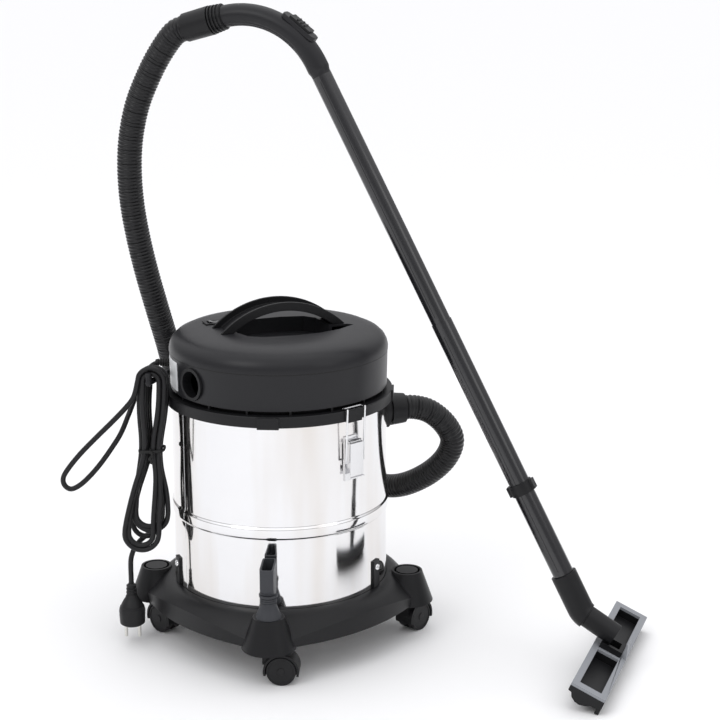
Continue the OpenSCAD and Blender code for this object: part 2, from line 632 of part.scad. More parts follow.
// Tapered end of the hose, pushed into the inlet socket
module hose_connector() place() color("#1b1b1d") at_az(inlet_az) translate([0, 0, inlet_z]) difference() {
    union() {
        spoke(inlet_bore, drum_r - 8, drum_r + 12);
        rotate([90, 0, 0]) translate([0, 0, drum_r + 10]) cylinder(r1 = 23.5, r2 = 21, h = 22);
    }
    spoke(inlet_bore - 2.5, drum_r - 30, drum_r + 60);
    spoke(hose_r + 0.4, drum_r + 24, drum_r + 60);
}

module hose_tube() place() color("#1a1a1a") swept(hose_route, hose_r, 12, 3, [0, 1, 0]);

// Smooth collar with four ribs between the hose and the hand tube
module hose_cuff() place() color("#202022") in_wand_plane() hand_start() rotate([0, -90, 0]) difference() {
    union() {
        translate([0, 0, 14]) cylinder(r1 = 20, r2 = 19.5, h = cuff_len - 14);
        translate([0, 0, -6]) cylinder(r = 16.4, h = 20.5);
        for (k = [0:3]) translate([0, 0, -5 + k * 5]) cylinder(r = 18 + k * 0.5, h = 2.4);
    }
    translate([0, 0, -8]) cylinder(r = hand_r, h = 30);
    translate([0, 0, 20]) cylinder(r = 13, h = 60);
    translate([0, 0, cuff_len - 8]) cylinder(r = hose_r + 0.4, h = 60);
}

// Frame at the start of the hand tube's arc; +X points along the tube
module hand_start() translate([arc_s + hand_bend * cos(hand_from), 0, arc_z + hand_bend * sin(hand_from)])
    rotate([0, 90 - hand_from, 0]) children();

module hand_tube() place() color("#27272a") difference() {
    union() {
        in_wand_plane() translate([arc_s, 0, arc_z]) rotate([90, 0, 0]) rotate([0, 0, wand_lean])
            rotate_extrude(angle = hand_from - wand_lean) translate([hand_bend, 0]) difference() {
                circle(r = hand_r, $fn = 48);
                circle(r = hand_r - 4.5, $fn = 48);
            }
        in_wand_plane() hand_start() rotate([0, -90, 0]) difference() {
            cylinder(r = hand_r, h = 20);
            translate([0, 0, -1]) cylinder(r = hand_r - 4.5, h = 22);
        }
        along_wand() rotate_extrude() polygon([[9.8, wand_top - 30], [11.7, wand_top - 30],
            [11.7, wand_top], [12.6, wand_top], [hand_r, arc_len], [hand_r - 4.5, arc_len], [9.8, wand_top]]);
        in_wand_plane() relief_frame() translate([-28, -11, -4]) cube([56, 22, 6]);
    }
    in_wand_plane() relief_frame() translate([-8, -5, -12]) cube([16, 10, 30]);
}

// Frame on top of the hand tube where the suction relief slider runs
module relief_frame() translate([arc_s, 0, arc_z]) rotate([0, 90 - 52, 0])
    translate([0, 0, hand_bend + hand_r]) children();

module relief_slider() place() color("#151517") in_wand_plane() relief_frame() {
    translate([-17, -9.5, 2 + gap]) cube([34, 19, 3]);
    for (k = [-1:1]) translate([k * 6 - 1, -7, 5]) cube([2, 14, 2]);
}

module wand_upper() place() color("#121214") along_wand() difference() {
    union() {
        translate([0, 0, lower_to]) cylinder(r = wand_r, h = upper_len);
        translate([0, 0, lower_to - 30]) cylinder(r = wand_r - wand_wall - 0.2, h = 30.01);
    }
    translate([0, 0, lower_to - 31]) cylinder(r = wand_r - 2 * wand_wall - 0.2, h = 50);
    translate([0, 0, lower_to + 10]) cylinder(r = wand_r - wand_wall - 0.2, h = upper_len);
    translate([-1, -wand_r - 1, lower_to + 8]) cube([2, 1.8, upper_len - 16]);
    translate([-1, wand_r - 0.8, lower_to + 8]) cube([2, 1.8, upper_len - 16]);
}

module wand_lower() place() color("#121214") along_wand() difference() {
    translate([0, 0, lower_from]) cylinder(r = wand_r + 1, h = lower_len);
    translate([0, 0, lower_from - 1]) cylinder(r = wand_r - wand_wall, h = lower_len + 2);
    translate([-1, -wand_r - 2, lower_from + 40]) cube([2, 1.8, lower_len - 60]);
    translate([-1, wand_r + 0.2, lower_from + 40]) cube([2, 1.8, lower_len - 60]);
}

// Clip collar round the lower tube, with two side tabs
module wand_collar() place() color("#1c1c1f") along_wand() translate([0, 0, 184]) difference() {
    union() {
        cylinder(r = wand_r + 3.2, h = 16);
        for (s = [-1, 1]) translate([s * (wand_r + 3.2) - 2.5, -6, 1]) cube([5, 12, 14]);
    }
    translate([0, 0, -1]) cylinder(r = wand_r + 1, h = 20);
}

// Socket and bend between the wand and the nozzle's neck
module nozzle_elbow() place() color("#232326") {
    along_wand() rotate_extrude() polygon([[elbow_r - 6, elbow_reach], [elbow_r, elbow_reach], [elbow_r, 60],
        [wand_r + 1, 60], [wand_r + 1, lower_from], [elbow_r - 6, lower_from]]);
    along_wand() translate([elbow_bend, 0, elbow_reach]) rotate([90, 0, 0]) rotate([0, 0, 180])
        rotate_extrude(angle = elbow_turn) translate([elbow_bend, 0]) difference() {
            circle(r = elbow_r, $fn = 48);
            circle(r = elbow_r - 6, $fn = 48);
        }
}

// Frame of the neck: +Z along the neck from the swivel towards the head
module neck_frame() translate([swivel_s, 0, swivel_z]) rotate([0, 90 + neck_pitch, 0]) children();

// Black channel body of the nozzle with its neck
module nozzle_body() place() color("#1a1a1c") {
    difference() {
        union() {
            in_head() translate([0, nozzle_l / 2, -4]) rotate([90, 0, 0]) linear_extrude(nozzle_l)
                polygon([[-nozzle_w / 2, 0], [nozzle_w / 2, 0], [nozzle_w / 2 - 0.15, 4 - nozzle_h],
                    [nozzle_w / 2 - 6, 4 - nozzle_h], [nozzle_w / 2 - 6, 10 - nozzle_h],
                    [nozzle_w / 2 - 13, 10.5 - nozzle_h], [nozzle_w / 2 - 21, 6 - nozzle_h],
                    [nozzle_w / 2 - 28, 4 - nozzle_h], [nozzle_w / 2 - 35, 4.8 - nozzle_h],
                    [nozzle_w / 2 - 41, 9 - nozzle_h], [nozzle_w / 2 - 44, 15 - nozzle_h],
                    [-nozzle_w / 2, 16 - nozzle_h]]);
            in_wand_plane() neck_frame() translate([0, 0, gap]) cylinder(r = neck_r, h = 46);
            in_head() translate([-16, -neck_r, -6]) cube([32, 2 * neck_r, 14]);
        }
        in_wand_plane() neck_frame() translate([0, 0, -1]) cylinder(r = neck_r - 3, h = 40);
        in_head() translate([-10, -10, -30]) cube([20, 20, 44]);
        for (s = [-1, 1]) in_head() translate([-15.5, s > 0 ? 22 : -nozzle_l / 2 + 12, -14])
            cube([31, nozzle_l / 2 - 34, 30]);
        in_head() translate([-12, -nozzle_l / 2 + 5, -nozzle_h - 4]) cube([22, nozzle_l - 10, 7]);
        in_head() translate([nozzle_w / 2 - blade_x, -nozzle_l / 2 + 8, 4 - nozzle_h])
            cube([blade_t, nozzle_l - 16, blade_h]);
    }
    in_wand_plane() neck_frame() rotate_extrude() polygon([[10, -spigot_in], [elbow_r - 6 - running, -spigot_in],
        [elbow_r - 6 - running, gap + 1], [neck_r - 2, gap + 1], [neck_r - 2, gap + 5], [10, gap + 5]]);
}

// Grey top frame with its two wells and the gusset in front of the neck
module nozzle_frame() place() color("#9a9da3") in_head() difference() {
    union() {
        translate([-nozzle_w / 2, -nozzle_l / 2, -4]) cube([nozzle_w, nozzle_l, 4]);
        translate([0, 12, 0]) rotate([90, 0, 0]) linear_extrude(24)
            polygon([[16.2, -1], [nozzle_w / 2, -1], [nozzle_w / 2, 0], [17.5, 21], [16.2, 21]]);
    }
    translate([-16, -neck_r - 0.2, -10]) cube([32, 2 * neck_r + 0.4, 10.01]);
    for (s = [-1, 1]) translate([-15.5, s > 0 ? 22 : -nozzle_l / 2 + 12, -10])
        cube([31, nozzle_l / 2 - 34, 20]);
}

module nozzle_squeegee() place() color("#3c3c3e") in_head()
    translate([nozzle_w / 2 - blade_x, -nozzle_l / 2 + 8, 4 - nozzle_h]) cube([blade_t, nozzle_l - 16, blade_h]);

module nozzle_brush() place() color("#3c3c3e") in_head()
    translate([-6, -nozzle_l / 2 + 8, -nozzle_h - 1]) cube([6, nozzle_l - 16, 4]);

// Small upholstery nozzle stored upright in the front pod's groove
module accessory_nozzle() place() color("#303236") translate([0, -pod_r, pod_top_z]) difference() {
    union() {
        translate([0, 0, -groove_depth + gap]) cylinder(r = groove_out - 0.4, h = groove_depth - gap);
        cylinder(r1 = groove_out - 0.4, r2 = 10.6, h = 18);
        translate([0, 0, 17]) cylinder(r = 10.6, h = 12);
        for (k = [0:2]) translate([0, 0, 18.5 + k * 3.2]) cylinder(r = 11.4, h = 1.4);
        translate([0, 0, 28]) cylinder(r = 12.4, h = 4.5);
        translate([-9.5, -22, 32]) cube([19, 48, 41]);
    }
    translate([0, 0, -groove_depth]) cylinder(r = groove_in + 0.6, h = groove_depth);
    translate([0, 0, -1]) cylinder(r1 = groove_in + 0.6, r2 = 7.6, h = 19);
    translate([0, 0, 10]) cylinder(r = 7.6, h = 40);
    translate([-7, -19.5, 39]) cube([14, 43, 40]);
}

module cord_lead() place() color("#141414") swept(lead_route, cord_r, 8, 4, [0, 0, 1]);

module cord_tail() place() color("#141414") swept(tail_route, cord_r, 8, 3, [0, 1, 0]);

// Coiled cord over the peg, drawn as one closed block
module cord_hank() place() color("#161616") translate([0, hank_y0 + hank_d, 0]) rotate([90, 0, 0])
    linear_extrude(hank_d) polygon(concat(
        [for (t = [0:15:180]) [-160.5 + 11 * cos(t), 392 + 11 * sin(t)]],
        [[-181, 335], [-186, 290], [-198, 232]],
        [for (t = [188:15:353]) [-178 + 28.5 * cos(t), 182 + 28.5 * sin(t)]],
        [[-149.6, 300]]));

module cord_tie() place() color("#0d0d0d") difference() {
    translate([-188, hank_y0 - 1.6, 286]) cube([39.4, hank_d + 3.2, 6]);
    translate([-186.2, hank_y0, 280]) cube([36.3, hank_d, 20]);
}

module plug_body() place() color("#1a1a1a") translate(plug_at) {
    cylinder(r1 = 17.5, r2 = 18.5, h = 20);
    translate([0, 0, 20]) cylinder(r1 = 18.5, r2 = 17.4, h = 7);
    translate([0, 0, 27]) cylinder(r1 = 17.4, r2 = 9, h = 16);
    translate([0, 0, 43]) cylinder(r = 6.4, h = 12);
    translate([0, 0, 55]) cylinder(r = 7.4, h = 6);
}

module plug_pins() place() color("silver") translate(plug_at) for (s = [-1, 1]) translate([s * 9.5, 0, -19])
    cylinder(r = 2.4, h = 19, $fn = 32);

drum();
inlet_socket();
inlet_gasket();
inlet_deflector();
latch_bracket(latch_az[0]);  // latch_bracket_right
latch_bracket(latch_az[1]);  // latch_bracket_left
latch_lever(latch_az[0]);  // latch_lever_right
latch_lever(latch_az[1]);  // latch_lever_left
latch_bail(latch_az[0]);  // latch_bail_right
latch_bail(latch_az[1]);  // latch_bail_left
base();
base_screws();
caster_hood(0);  // caster_hood_front
caster_hood(1);  // caster_hood_right
caster_hood(2);  // caster_hood_back
caster_hood(3);  // caster_hood_left
wheel_pair(0);  // wheel_pair_front
wheel_pair(1);  // wheel_pair_right
wheel_pair(2);  // wheel_pair_back
wheel_pair(3);  // wheel_pair_left
rim_flange();
head_seal();
lower_housing();
blower_collar();
top_cover();
carry_handle();
switch_bezel();
switch_rocker();
motor_casing();
motor_rotor();
motor_bearings();
float_cage();
float_ball();
filter_sleeve();
rating_plate();
cord_gland();
cord_hook();
hose_connector();
hose_tube();
hose_cuff();
hand_tube();
relief_slider();
wand_upper();
wand_lower();
wand_collar();
nozzle_elbow();
nozzle_body();
nozzle_frame();
nozzle_squeegee();
nozzle_brush();
accessory_nozzle();
cord_lead();
cord_hank();
cord_tail();
cord_tie();
plug_body();
plug_pins();
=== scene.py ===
import json
import math
import bmesh
import bpy
from mathutils import Matrix, Vector


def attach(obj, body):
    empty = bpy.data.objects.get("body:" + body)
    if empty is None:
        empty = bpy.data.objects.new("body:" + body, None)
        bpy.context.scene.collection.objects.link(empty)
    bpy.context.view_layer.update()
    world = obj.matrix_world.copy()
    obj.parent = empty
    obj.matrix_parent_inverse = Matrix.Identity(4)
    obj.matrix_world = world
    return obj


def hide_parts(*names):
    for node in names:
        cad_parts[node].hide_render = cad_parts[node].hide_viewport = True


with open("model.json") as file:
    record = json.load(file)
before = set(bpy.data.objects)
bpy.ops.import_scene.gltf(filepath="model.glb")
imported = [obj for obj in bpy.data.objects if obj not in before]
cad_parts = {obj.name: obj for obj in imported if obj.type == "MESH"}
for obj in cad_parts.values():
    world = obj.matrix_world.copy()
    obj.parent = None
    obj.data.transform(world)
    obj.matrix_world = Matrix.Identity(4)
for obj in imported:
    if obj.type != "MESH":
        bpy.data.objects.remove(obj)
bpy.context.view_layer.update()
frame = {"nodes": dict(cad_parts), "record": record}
nodes = frame["nodes"]
scene = bpy.context.scene
print("frame loaded:", len(nodes), "nodes")


def inFrame(x, y, z):  # a point given in millimetres round the drum's axis
    return Vector(((x - 154) / 1000, (y + 24) / 1000, z / 1000))


wandFoot = {"x": 462.7, "y": -117.9, "turn": math.radians(-16.3)}


def inWandPlane(s, z):  # a point in the wand's upright plane
    turn = wandFoot["turn"]
    return inFrame(wandFoot["x"] + s * math.cos(turn), wandFoot["y"] + s * math.sin(turn), z)


# camera and studio

shot = {"place": (0.0846, -2.3763, 1.0364), "turn": (75.218, 0.0, 3.0), "lens": 89.75}
studio = {
    "worldColour": (0.98, 0.98, 1.0), "skyLow": 0.4, "skyHigh": 1.32, "floorTone": 0.92, "floorHalf": 60,
    "lights": [  # name, place, size, power, aims at
        ("keySoftbox", (-1.6, -1.9, 2.3), 1.3, 12, (0, 0, 0.35)),
        ("fillSoftbox", (2.2, -1.5, 1.5), 1.1, 4, (0, 0, 0.3)),
        ("topSoftbox", (0.1, 0.5, 2.9), 1.8, 5, (0, 0, 0.3)),
    ],
}


def makeCamera():
    data = bpy.data.cameras.new("camera")
    data.sensor_width = 36
    data.lens = shot["lens"]
    data.clip_end = 60
    eye = bpy.data.objects.new("camera", data)
    eye.location = shot["place"]
    eye.rotation_euler = [math.radians(a) for a in shot["turn"]]
    scene.collection.objects.link(eye)
    scene.camera = eye


def makeStudio():
    world = bpy.data.worlds.new("studioWorld")
    scene.world = world
    world.use_nodes = True
    back = world.node_tree.nodes["Background"]
    back.inputs["Color"].default_value = (*studio["worldColour"], 1)
    way = world.node_tree.nodes.new("ShaderNodeTexCoord")
    parts = world.node_tree.nodes.new("ShaderNodeSeparateXYZ")
    sky = world.node_tree.nodes.new("ShaderNodeMapRange")
    sky.interpolation_type = "SMOOTHSTEP"
    for label, value in (("From Min", 0.1), ("From Max", 0.8), ("To Min", studio["skyLow"]), ("To Max", studio["skyHigh"])):
        sky.inputs[label].default_value = value
    world.node_tree.links.new(way.outputs["Generated"], parts.inputs[0])
    world.node_tree.links.new(parts.outputs["Z"], sky.inputs["Value"])
    world.node_tree.links.new(sky.outputs["Result"], back.inputs["Strength"])
    for name, place, size, power, aim in studio["lights"]:
        data = bpy.data.lights.new(name, "AREA")
        data.size = size
        data.energy = power
        lamp = bpy.data.objects.new(name, data)
        lamp.location = place
        lamp.rotation_euler = (Vector(aim) - Vector(place)).to_track_quat("-Z", "Y").to_euler()
        scene.collection.objects.link(lamp)
    mesh = bpy.data.meshes.new("studioFloor")
    half = studio["floorHalf"]
    mesh.from_pydata([(-half, -half, 0), (half, -half, 0), (half, half, 0), (-half, half, 0)], [], [(0, 1, 2, 3)])
    floor = bpy.data.objects.new("studioFloor", mesh)
    scene.collection.objects.link(floor)
    material = bpy.data.materials.new("studioFloor")
    material.use_nodes = True
    shader = material.node_tree.nodes["Principled BSDF"]
    shader.inputs["Base Color"].default_value = (*[studio["floorTone"]] * 3, 1)
    shader.inputs["Roughness"].default_value = 0.75
    mesh.materials.append(material)


makeCamera()
makeStudio()
scene.view_settings.view_transform = "Standard"
print("camera and studio ready")


# shared shader groups

def newGroup(name, ins, outs):
    group = bpy.data.node_groups.new(name, "ShaderNodeTree")
    for label, kind, value in ins:
        socket = group.interface.new_socket(label, in_out="INPUT", socket_type=kind)
        if value is not None:
            socket.default_value = value
    for label, kind in outs:
        group.interface.new_socket(label, in_out="OUTPUT", socket_type=kind)
    return group, group.nodes.new("NodeGroupInput"), group.nodes.new("NodeGroupOutput")


def mathNode(tree, kind, a, b=None):
    node = tree.nodes.new("ShaderNodeMath")
    node.operation = kind
    for i, value in enumerate((a, b)):
        if value is None:
            continue
        if isinstance(value, (int, float)):
            node.inputs[i].default_value = value
        else:
            tree.links.new(value, node.inputs[i])
    return node.outputs[0]


def noiseNode(tree, vector, scale, detail=2.0, rough=0.5):
    node = tree.nodes.new("ShaderNodeTexNoise")
    node.inputs["Detail"].default_value = detail
    node.inputs["Roughness"].default_value = rough
    if isinstance(scale, (int, float)):
        node.inputs["Scale"].default_value = scale
    else:
        tree.links.new(scale, node.inputs["Scale"])
    tree.links.new(vector, node.inputs["Vector"])
    return node.outputs[0]


def shiftTone(tree, base, amount, signal):  # base colour made lighter and darker by a signal
    level = mathNode(tree, "ADD", 1.0, mathNode(tree, "MULTIPLY", amount, mathNode(tree, "SUBTRACT", signal, 0.5)))
    mix = tree.nodes.new("ShaderNodeVectorMath")
    mix.operation = "SCALE"
    tree.links.new(base, mix.inputs[0])
    tree.links.new(level, mix.inputs["Scale"])
    return mix.outputs[0]


def makeMouldedGrain():  # fine spark texture of a moulded part, with soft handling marks
    tree, start, end = newGroup("mouldedGrain", [
        ("Vector", "NodeSocketVector", None), ("Base", "NodeSocketColor", (0.1, 0.1, 0.1, 1)),
        ("Rough", "NodeSocketFloat", 0.45), ("Grain Scale", "NodeSocketFloat", 1400.0),
        ("Mark Scale", "NodeSocketFloat", 14.0), ("Tone Change", "NodeSocketFloat", 0.25),
        ("Rough Change", "NodeSocketFloat", 0.16)],
        [("Colour", "NodeSocketColor"), ("Roughness", "NodeSocketFloat"), ("Height", "NodeSocketFloat")])
    marks = noiseNode(tree, start.outputs["Vector"], start.outputs["Mark Scale"], 6.0, 0.62)
    grain = noiseNode(tree, start.outputs["Vector"], start.outputs["Grain Scale"], 2.0)
    tree.links.new(shiftTone(tree, start.outputs["Base"], start.outputs["Tone Change"], marks), end.inputs["Colour"])
    rough = mathNode(tree, "ADD", start.outputs["Rough"], mathNode(
        tree, "MULTIPLY", start.outputs["Rough Change"], mathNode(tree, "SUBTRACT", marks, 0.5)))
    tree.links.new(rough, end.inputs["Roughness"])
    tree.links.new(grain, end.inputs["Height"])
    return tree


def makeHandledMetal():  # polished sheet with hairlines along one way, smudges, a slow ripple, and upright beige-grey streaks of painted reflection
    tree, start, end = newGroup("handledMetal", [
        ("Vector", "NodeSocketVector", None), ("Base", "NodeSocketColor", (0.8, 0.8, 0.8, 1)),
        ("Rough", "NodeSocketFloat", 0.1), ("Hairline Scale", "NodeSocketFloat", 900.0),
        ("Stretch", "NodeSocketVector", (1, 1, 0.02)), ("Smudge Change", "NodeSocketFloat", 0.1),
        ("Ripple Scale", "NodeSocketFloat", 16.0), ("Painted Reflection Amount", "NodeSocketFloat", 0.0),
        ("Painted Reflection Colour", "NodeSocketColor", (0.62, 0.55, 0.47, 1))],
        [("Colour", "NodeSocketColor"), ("Roughness", "NodeSocketFloat"), ("Height", "NodeSocketFloat")])
    stretched = tree.nodes.new("ShaderNodeVectorMath")
    stretched.operation = "MULTIPLY"
    tree.links.new(start.outputs["Vector"], stretched.inputs[0])
    tree.links.new(start.outputs["Stretch"], stretched.inputs[1])
    lines = noiseNode(tree, stretched.outputs[0], start.outputs["Hairline Scale"], 3.0)
    smudge = noiseNode(tree, start.outputs["Vector"], 11.0, 7.0, 0.66)
    ripple = noiseNode(tree, start.outputs["Vector"], start.outputs["Ripple Scale"], 1.0)
    # painted reflection: upright streaks tint the base colour towards beige grey, standing in for the room reflected in
    # polished steel
    upright = tree.nodes.new("ShaderNodeVectorMath")
    upright.operation = "MULTIPLY"
    upright.inputs[1].default_value = (1, 1, 0.12)
    tree.links.new(start.outputs["Vector"], upright.inputs[0])
    reflectionStreak = noiseNode(tree, upright.outputs[0], 13.0, 3.0, 0.5)
    reflectionBands = tree.nodes.new("ShaderNodeMapRange")
    reflectionBands.inputs["From Min"].default_value = 0.42
    reflectionBands.inputs["From Max"].default_value = 0.72
    tree.links.new(reflectionStreak, reflectionBands.inputs["Value"])
    reflectionTint = tree.nodes.new("ShaderNodeMix")
    reflectionTint.data_type = "RGBA"
    tree.links.new(mathNode(tree, "MULTIPLY", reflectionBands.outputs["Result"], start.outputs["Painted Reflection Amount"]), reflectionTint.inputs["Factor"])
    tree.links.new(start.outputs["Base"], reflectionTint.inputs[6])
    tree.links.new(start.outputs["Painted Reflection Colour"], reflectionTint.inputs[7])
    tree.links.new(shiftTone(tree, reflectionTint.outputs[2], 0.08, smudge), end.inputs["Colour"])
    change = mathNode(tree, "MULTIPLY", start.outputs["Smudge Change"], mathNode(tree, "SUBTRACT", smudge, 0.4))
    change = mathNode(tree, "ADD", change, mathNode(tree, "MULTIPLY", 0.05, mathNode(tree, "SUBTRACT", lines, 0.5)))
    rough = mathNode(tree, "MAXIMUM", mathNode(tree, "ADD", start.outputs["Rough"], change), 0.03)
    tree.links.new(rough, end.inputs["Roughness"])
    tree.links.new(mathNode(tree, "ADD", mathNode(tree, "MULTIPLY", lines, 0.012), ripple), end.inputs["Height"])
    return tree


def makeClothWeave():  # over and under threads
    tree, start, end = newGroup("clothWeave", [
        ("Vector", "NodeSocketVector", None), ("Base", "NodeSocketColor", (0.8, 0.8, 0.75, 1)),
        ("Rough", "NodeSocketFloat", 0.9), ("Threads", "NodeSocketFloat", 900.0)],
        [("Colour", "NodeSocketColor"), ("Roughness", "NodeSocketFloat"), ("Height", "NodeSocketFloat")])
    heights = []
    for way in ("X", "Z"):
        wave = tree.nodes.new("ShaderNodeTexWave")
        wave.bands_direction = way
        tree.links.new(start.outputs["Vector"], wave.inputs["Vector"])
        tree.links.new(mathNode(tree, "MULTIPLY", start.outputs["Threads"], 0.35), wave.inputs["Scale"])
        heights.append(wave.outputs["Fac"])
    both = mathNode(tree, "MULTIPLY", heights[0], heights[1])
    fuzz = noiseNode(tree, start.outputs["Vector"], 60.0, 5.0)
    tree.links.new(shiftTone(tree, start.outputs["Base"], 0.3, fuzz), end.inputs["Colour"])
    tree.links.new(mathNode(tree, "ADD", start.outputs["Rough"], mathNode(tree, "MULTIPLY", -0.1, both)), end.inputs["Roughness"])
    tree.links.new(both, end.inputs["Height"])
    return tree


mouldedGrain = makeMouldedGrain()
handledMetal = makeHandledMetal()
clothWeave = makeClothWeave()

finishes = {  # slot: group, base, rough, metallic, coat, bump strength, bump distance, group values
    # drum_steel carries the painted reflection streaks in its colour
    "drum_steel": (handledMetal, (0.83, 0.83, 0.84), 0.07, 1, 0, 0.08, 0.0009, {"Smudge Change": 0.08, "Ripple Scale": 9.0, "Painted Reflection Amount": 0.7}),
    "bright_steel": (handledMetal, (0.78, 0.78, 0.79), 0.16, 1, 0, 0.1, 0.0002, {"Smudge Change": 0.14, "Ripple Scale": 60.0}),
    "motor_alloy": (handledMetal, (0.55, 0.56, 0.58), 0.42, 1, 0, 0.2, 0.0003, {"Ripple Scale": 500.0}),
    "rotor_steel": (handledMetal, (0.48, 0.42, 0.36), 0.36, 1, 0, 0.2, 0.0002, {"Ripple Scale": 300.0}),
    "pin_metal": (handledMetal, (0.75, 0.74, 0.7), 0.2, 1, 0, 0.1, 0.0001, {"Ripple Scale": 90.0}),
    "black_plastic": (mouldedGrain, (0.009, 0.009, 0.01), 0.4, 0, 0, 0.16, 0.00012, {"Grain Scale": 1500.0}),
    "charcoal_plastic": (mouldedGrain, (0.016, 0.016, 0.018), 0.36, 0, 0, 0.14, 0.0001, {"Grain Scale": 1700.0, "Tone Change": 0.16}),
    "dark_grey_plastic": (mouldedGrain, (0.045, 0.047, 0.053), 0.42, 0, 0, 0.2, 0.0001, {"Grain Scale": 1300.0}),
    "grey_plastic": (mouldedGrain, (0.27, 0.28, 0.3), 0.5, 0, 0, 0.42, 0.0002, {"Grain Scale": 900.0}),
    "white_plastic": (mouldedGrain, (0.8, 0.8, 0.78), 0.4, 0, 0, 0.1, 0.0001, {}),
    "gloss_black": (mouldedGrain, (0.01, 0.01, 0.012), 0.2, 0, 0.5, 0.06, 0.0001, {"Mark Scale": 30.0, "Rough Change": 0.1}),
    "wheel_black": (mouldedGrain, (0.014, 0.014, 0.015), 0.5, 0, 0, 0.2, 0.0001, {"Grain Scale": 1100.0, "Tone Change": 0.5}),
    "hose_black": (mouldedGrain, (0.014, 0.014, 0.015), 0.3, 0, 0, 0.1, 0.0001, {"Mark Scale": 25.0}),
    "cord_black": (mouldedGrain, (0.013, 0.013, 0.014), 0.44, 0, 0, 0.12, 0.0001, {"Mark Scale": 40.0}),
    "seal_rubber": (mouldedGrain, (0.015, 0.015, 0.015), 0.62, 0, 0, 0.2, 0.0001, {"Grain Scale": 1000.0}),
    "label": (mouldedGrain, (0.72, 0.73, 0.74), 0.36, 0, 0, 0.05, 0.0001, {"Tone Change": 0.06}),
    "filter_cloth": (clothWeave, (0.78, 0.76, 0.7), 0.92, 0, 0, 0.6, 0.0004, {}),
    "brush_fibre": (clothWeave, (0.02, 0.02, 0.021), 0.8, 0, 0, 0.4, 0.0002, {"Threads": 1500.0}),
}


def makeFinish(name):
    group, base, rough, metallic, coat, strength, distance, values = finishes[name]
    material = bpy.data.materials.new(name)
    material.use_nodes = True
    tree = material.node_tree
    shader = tree.nodes["Principled BSDF"]
    place = tree.nodes.new("ShaderNodeTexCoord")
    effect = tree.nodes.new("ShaderNodeGroup")
    effect.node_tree = group
    tree.links.new(place.outputs["Object"], effect.inputs["Vector"])
    effect.inputs["Base"].default_value = (*base, 1)
    effect.inputs["Rough"].default_value = rough
    for label, value in values.items():
        effect.inputs[label].default_value = value
    bump = tree.nodes.new("ShaderNodeBump")
    bump.inputs["Strength"].default_value = strength
    bump.inputs["Distance"].default_value = distance
    tree.links.new(effect.outputs["Height"], bump.inputs["Height"])
    tree.links.new(effect.outputs["Colour"], shader.inputs["Base Color"])
    tree.links.new(effect.outputs["Roughness"], shader.inputs["Roughness"])
    tree.links.new(bump.outputs["Normal"], shader.inputs["Normal"])
    shader.inputs["Metallic"].default_value = metallic
    shader.inputs["Specular IOR Level"].default_value = 0.5 if metallic or coat else 0.26
    shader.inputs["Coat Weight"].default_value = coat
    shader.inputs["Coat Roughness"].default_value = 0.12
    return material


paint = {name: makeFinish(name) for name in finishes}
slotOf = {row["node"]: row["material_slot"] for row in frame["record"]["subparts"]}
print("finishes ready:", len(paint))


# mesh helpers

def makePiece(name, verts, faces, slot, body, sharp=38, replaces=()):
    mesh = bpy.data.meshes.new(name)
    mesh.from_pydata([tuple(v) for v in verts], [], faces)
    mesh.validate()
    return finishPiece(name, mesh, slot, body, sharp, replaces)


def finishPiece(name, mesh, slot, body, sharp=38, replaces=()):
    piece = bpy.data.objects.new(name, mesh)
    scene.collection.objects.link(piece)
    mesh.materials.clear()
    mesh.materials.append(paint[slot])
    mesh.shade_smooth()
    mesh.set_sharp_from_angle(angle=math.radians(sharp))
    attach(piece, body)
    if replaces:
        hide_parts(*replaces)
    return piece


def roundEdges(piece, width, angle=34):
    bevel = piece.modifiers.new("roundEdges", "BEVEL")
    bevel.width = width
    bevel.segments = 2
    bevel.limit_method = "ANGLE"
    bevel.angle_limit = math.radians(angle)
    bevel.use_clamp_overlap = True
    bevel.harden_normals = True
    bevel.miter_outer = "MITER_ARC"
    return piece


def lathe(profile, sides, centre):  # rings of (radius, height) in millimetres round an upright axis
    verts, faces = [], []
    for r, z in profile:
        for k in range(sides):
            a = 2 * math.pi * k / sides
            verts.append(inFrame(centre[0] + r * math.cos(a), centre[1] + r * math.sin(a), z))
    for i in range(len(profile) - 1):
        for k in range(sides):
            m = (k + 1) % sides
            faces.append((i * sides + k, i * sides + m, (i + 1) * sides + m, (i + 1) * sides + k))
    return verts, faces


def closeUp(mesh):  # merge the poles and point every face outwards
    tidy = bmesh.new()
    tidy.from_mesh(mesh)
    bmesh.ops.remove_doubles(tidy, verts=tidy.verts, dist=1e-6)
    bmesh.ops.recalc_face_normals(tidy, faces=tidy.faces)
    tidy.to_mesh(mesh)
    tidy.free()


def splineThrough(points, steps):
    line = []
    pts = [Vector(p) for p in points]
    for i in range(len(pts) - 1):
        a, b, c, d = pts[max(i - 1, 0)], pts[i], pts[i + 1], pts[min(i + 2, len(pts) - 1)]
        for k in range(steps):
            t = k / steps
            line.append(0.5 * (2 * b + (c - a) * t + (2 * a - 5 * b + 4 * c - d) * t * t
                               + (3 * b - a - 3 * c + d) * t ** 3))
    line.append(pts[-1])
    return line


def evenly(line, step):
    total = sum((q - p).length for p, q in zip(line, line[1:]))
    count = max(2, round(total / step))
    out, gone, i = [line[0].copy()], 0.0, 0
    for n in range(1, count):
        goal = total * n / count
        while i < len(line) - 2 and gone + (line[i + 1] - line[i]).length < goal:
            gone += (line[i + 1] - line[i]).length
            i += 1
        part = (line[i + 1] - line[i]).length or 1e-9
        out.append(line[i].lerp(line[i + 1], (goal - gone) / part))
    out.append(line[-1].copy())
    return out, total


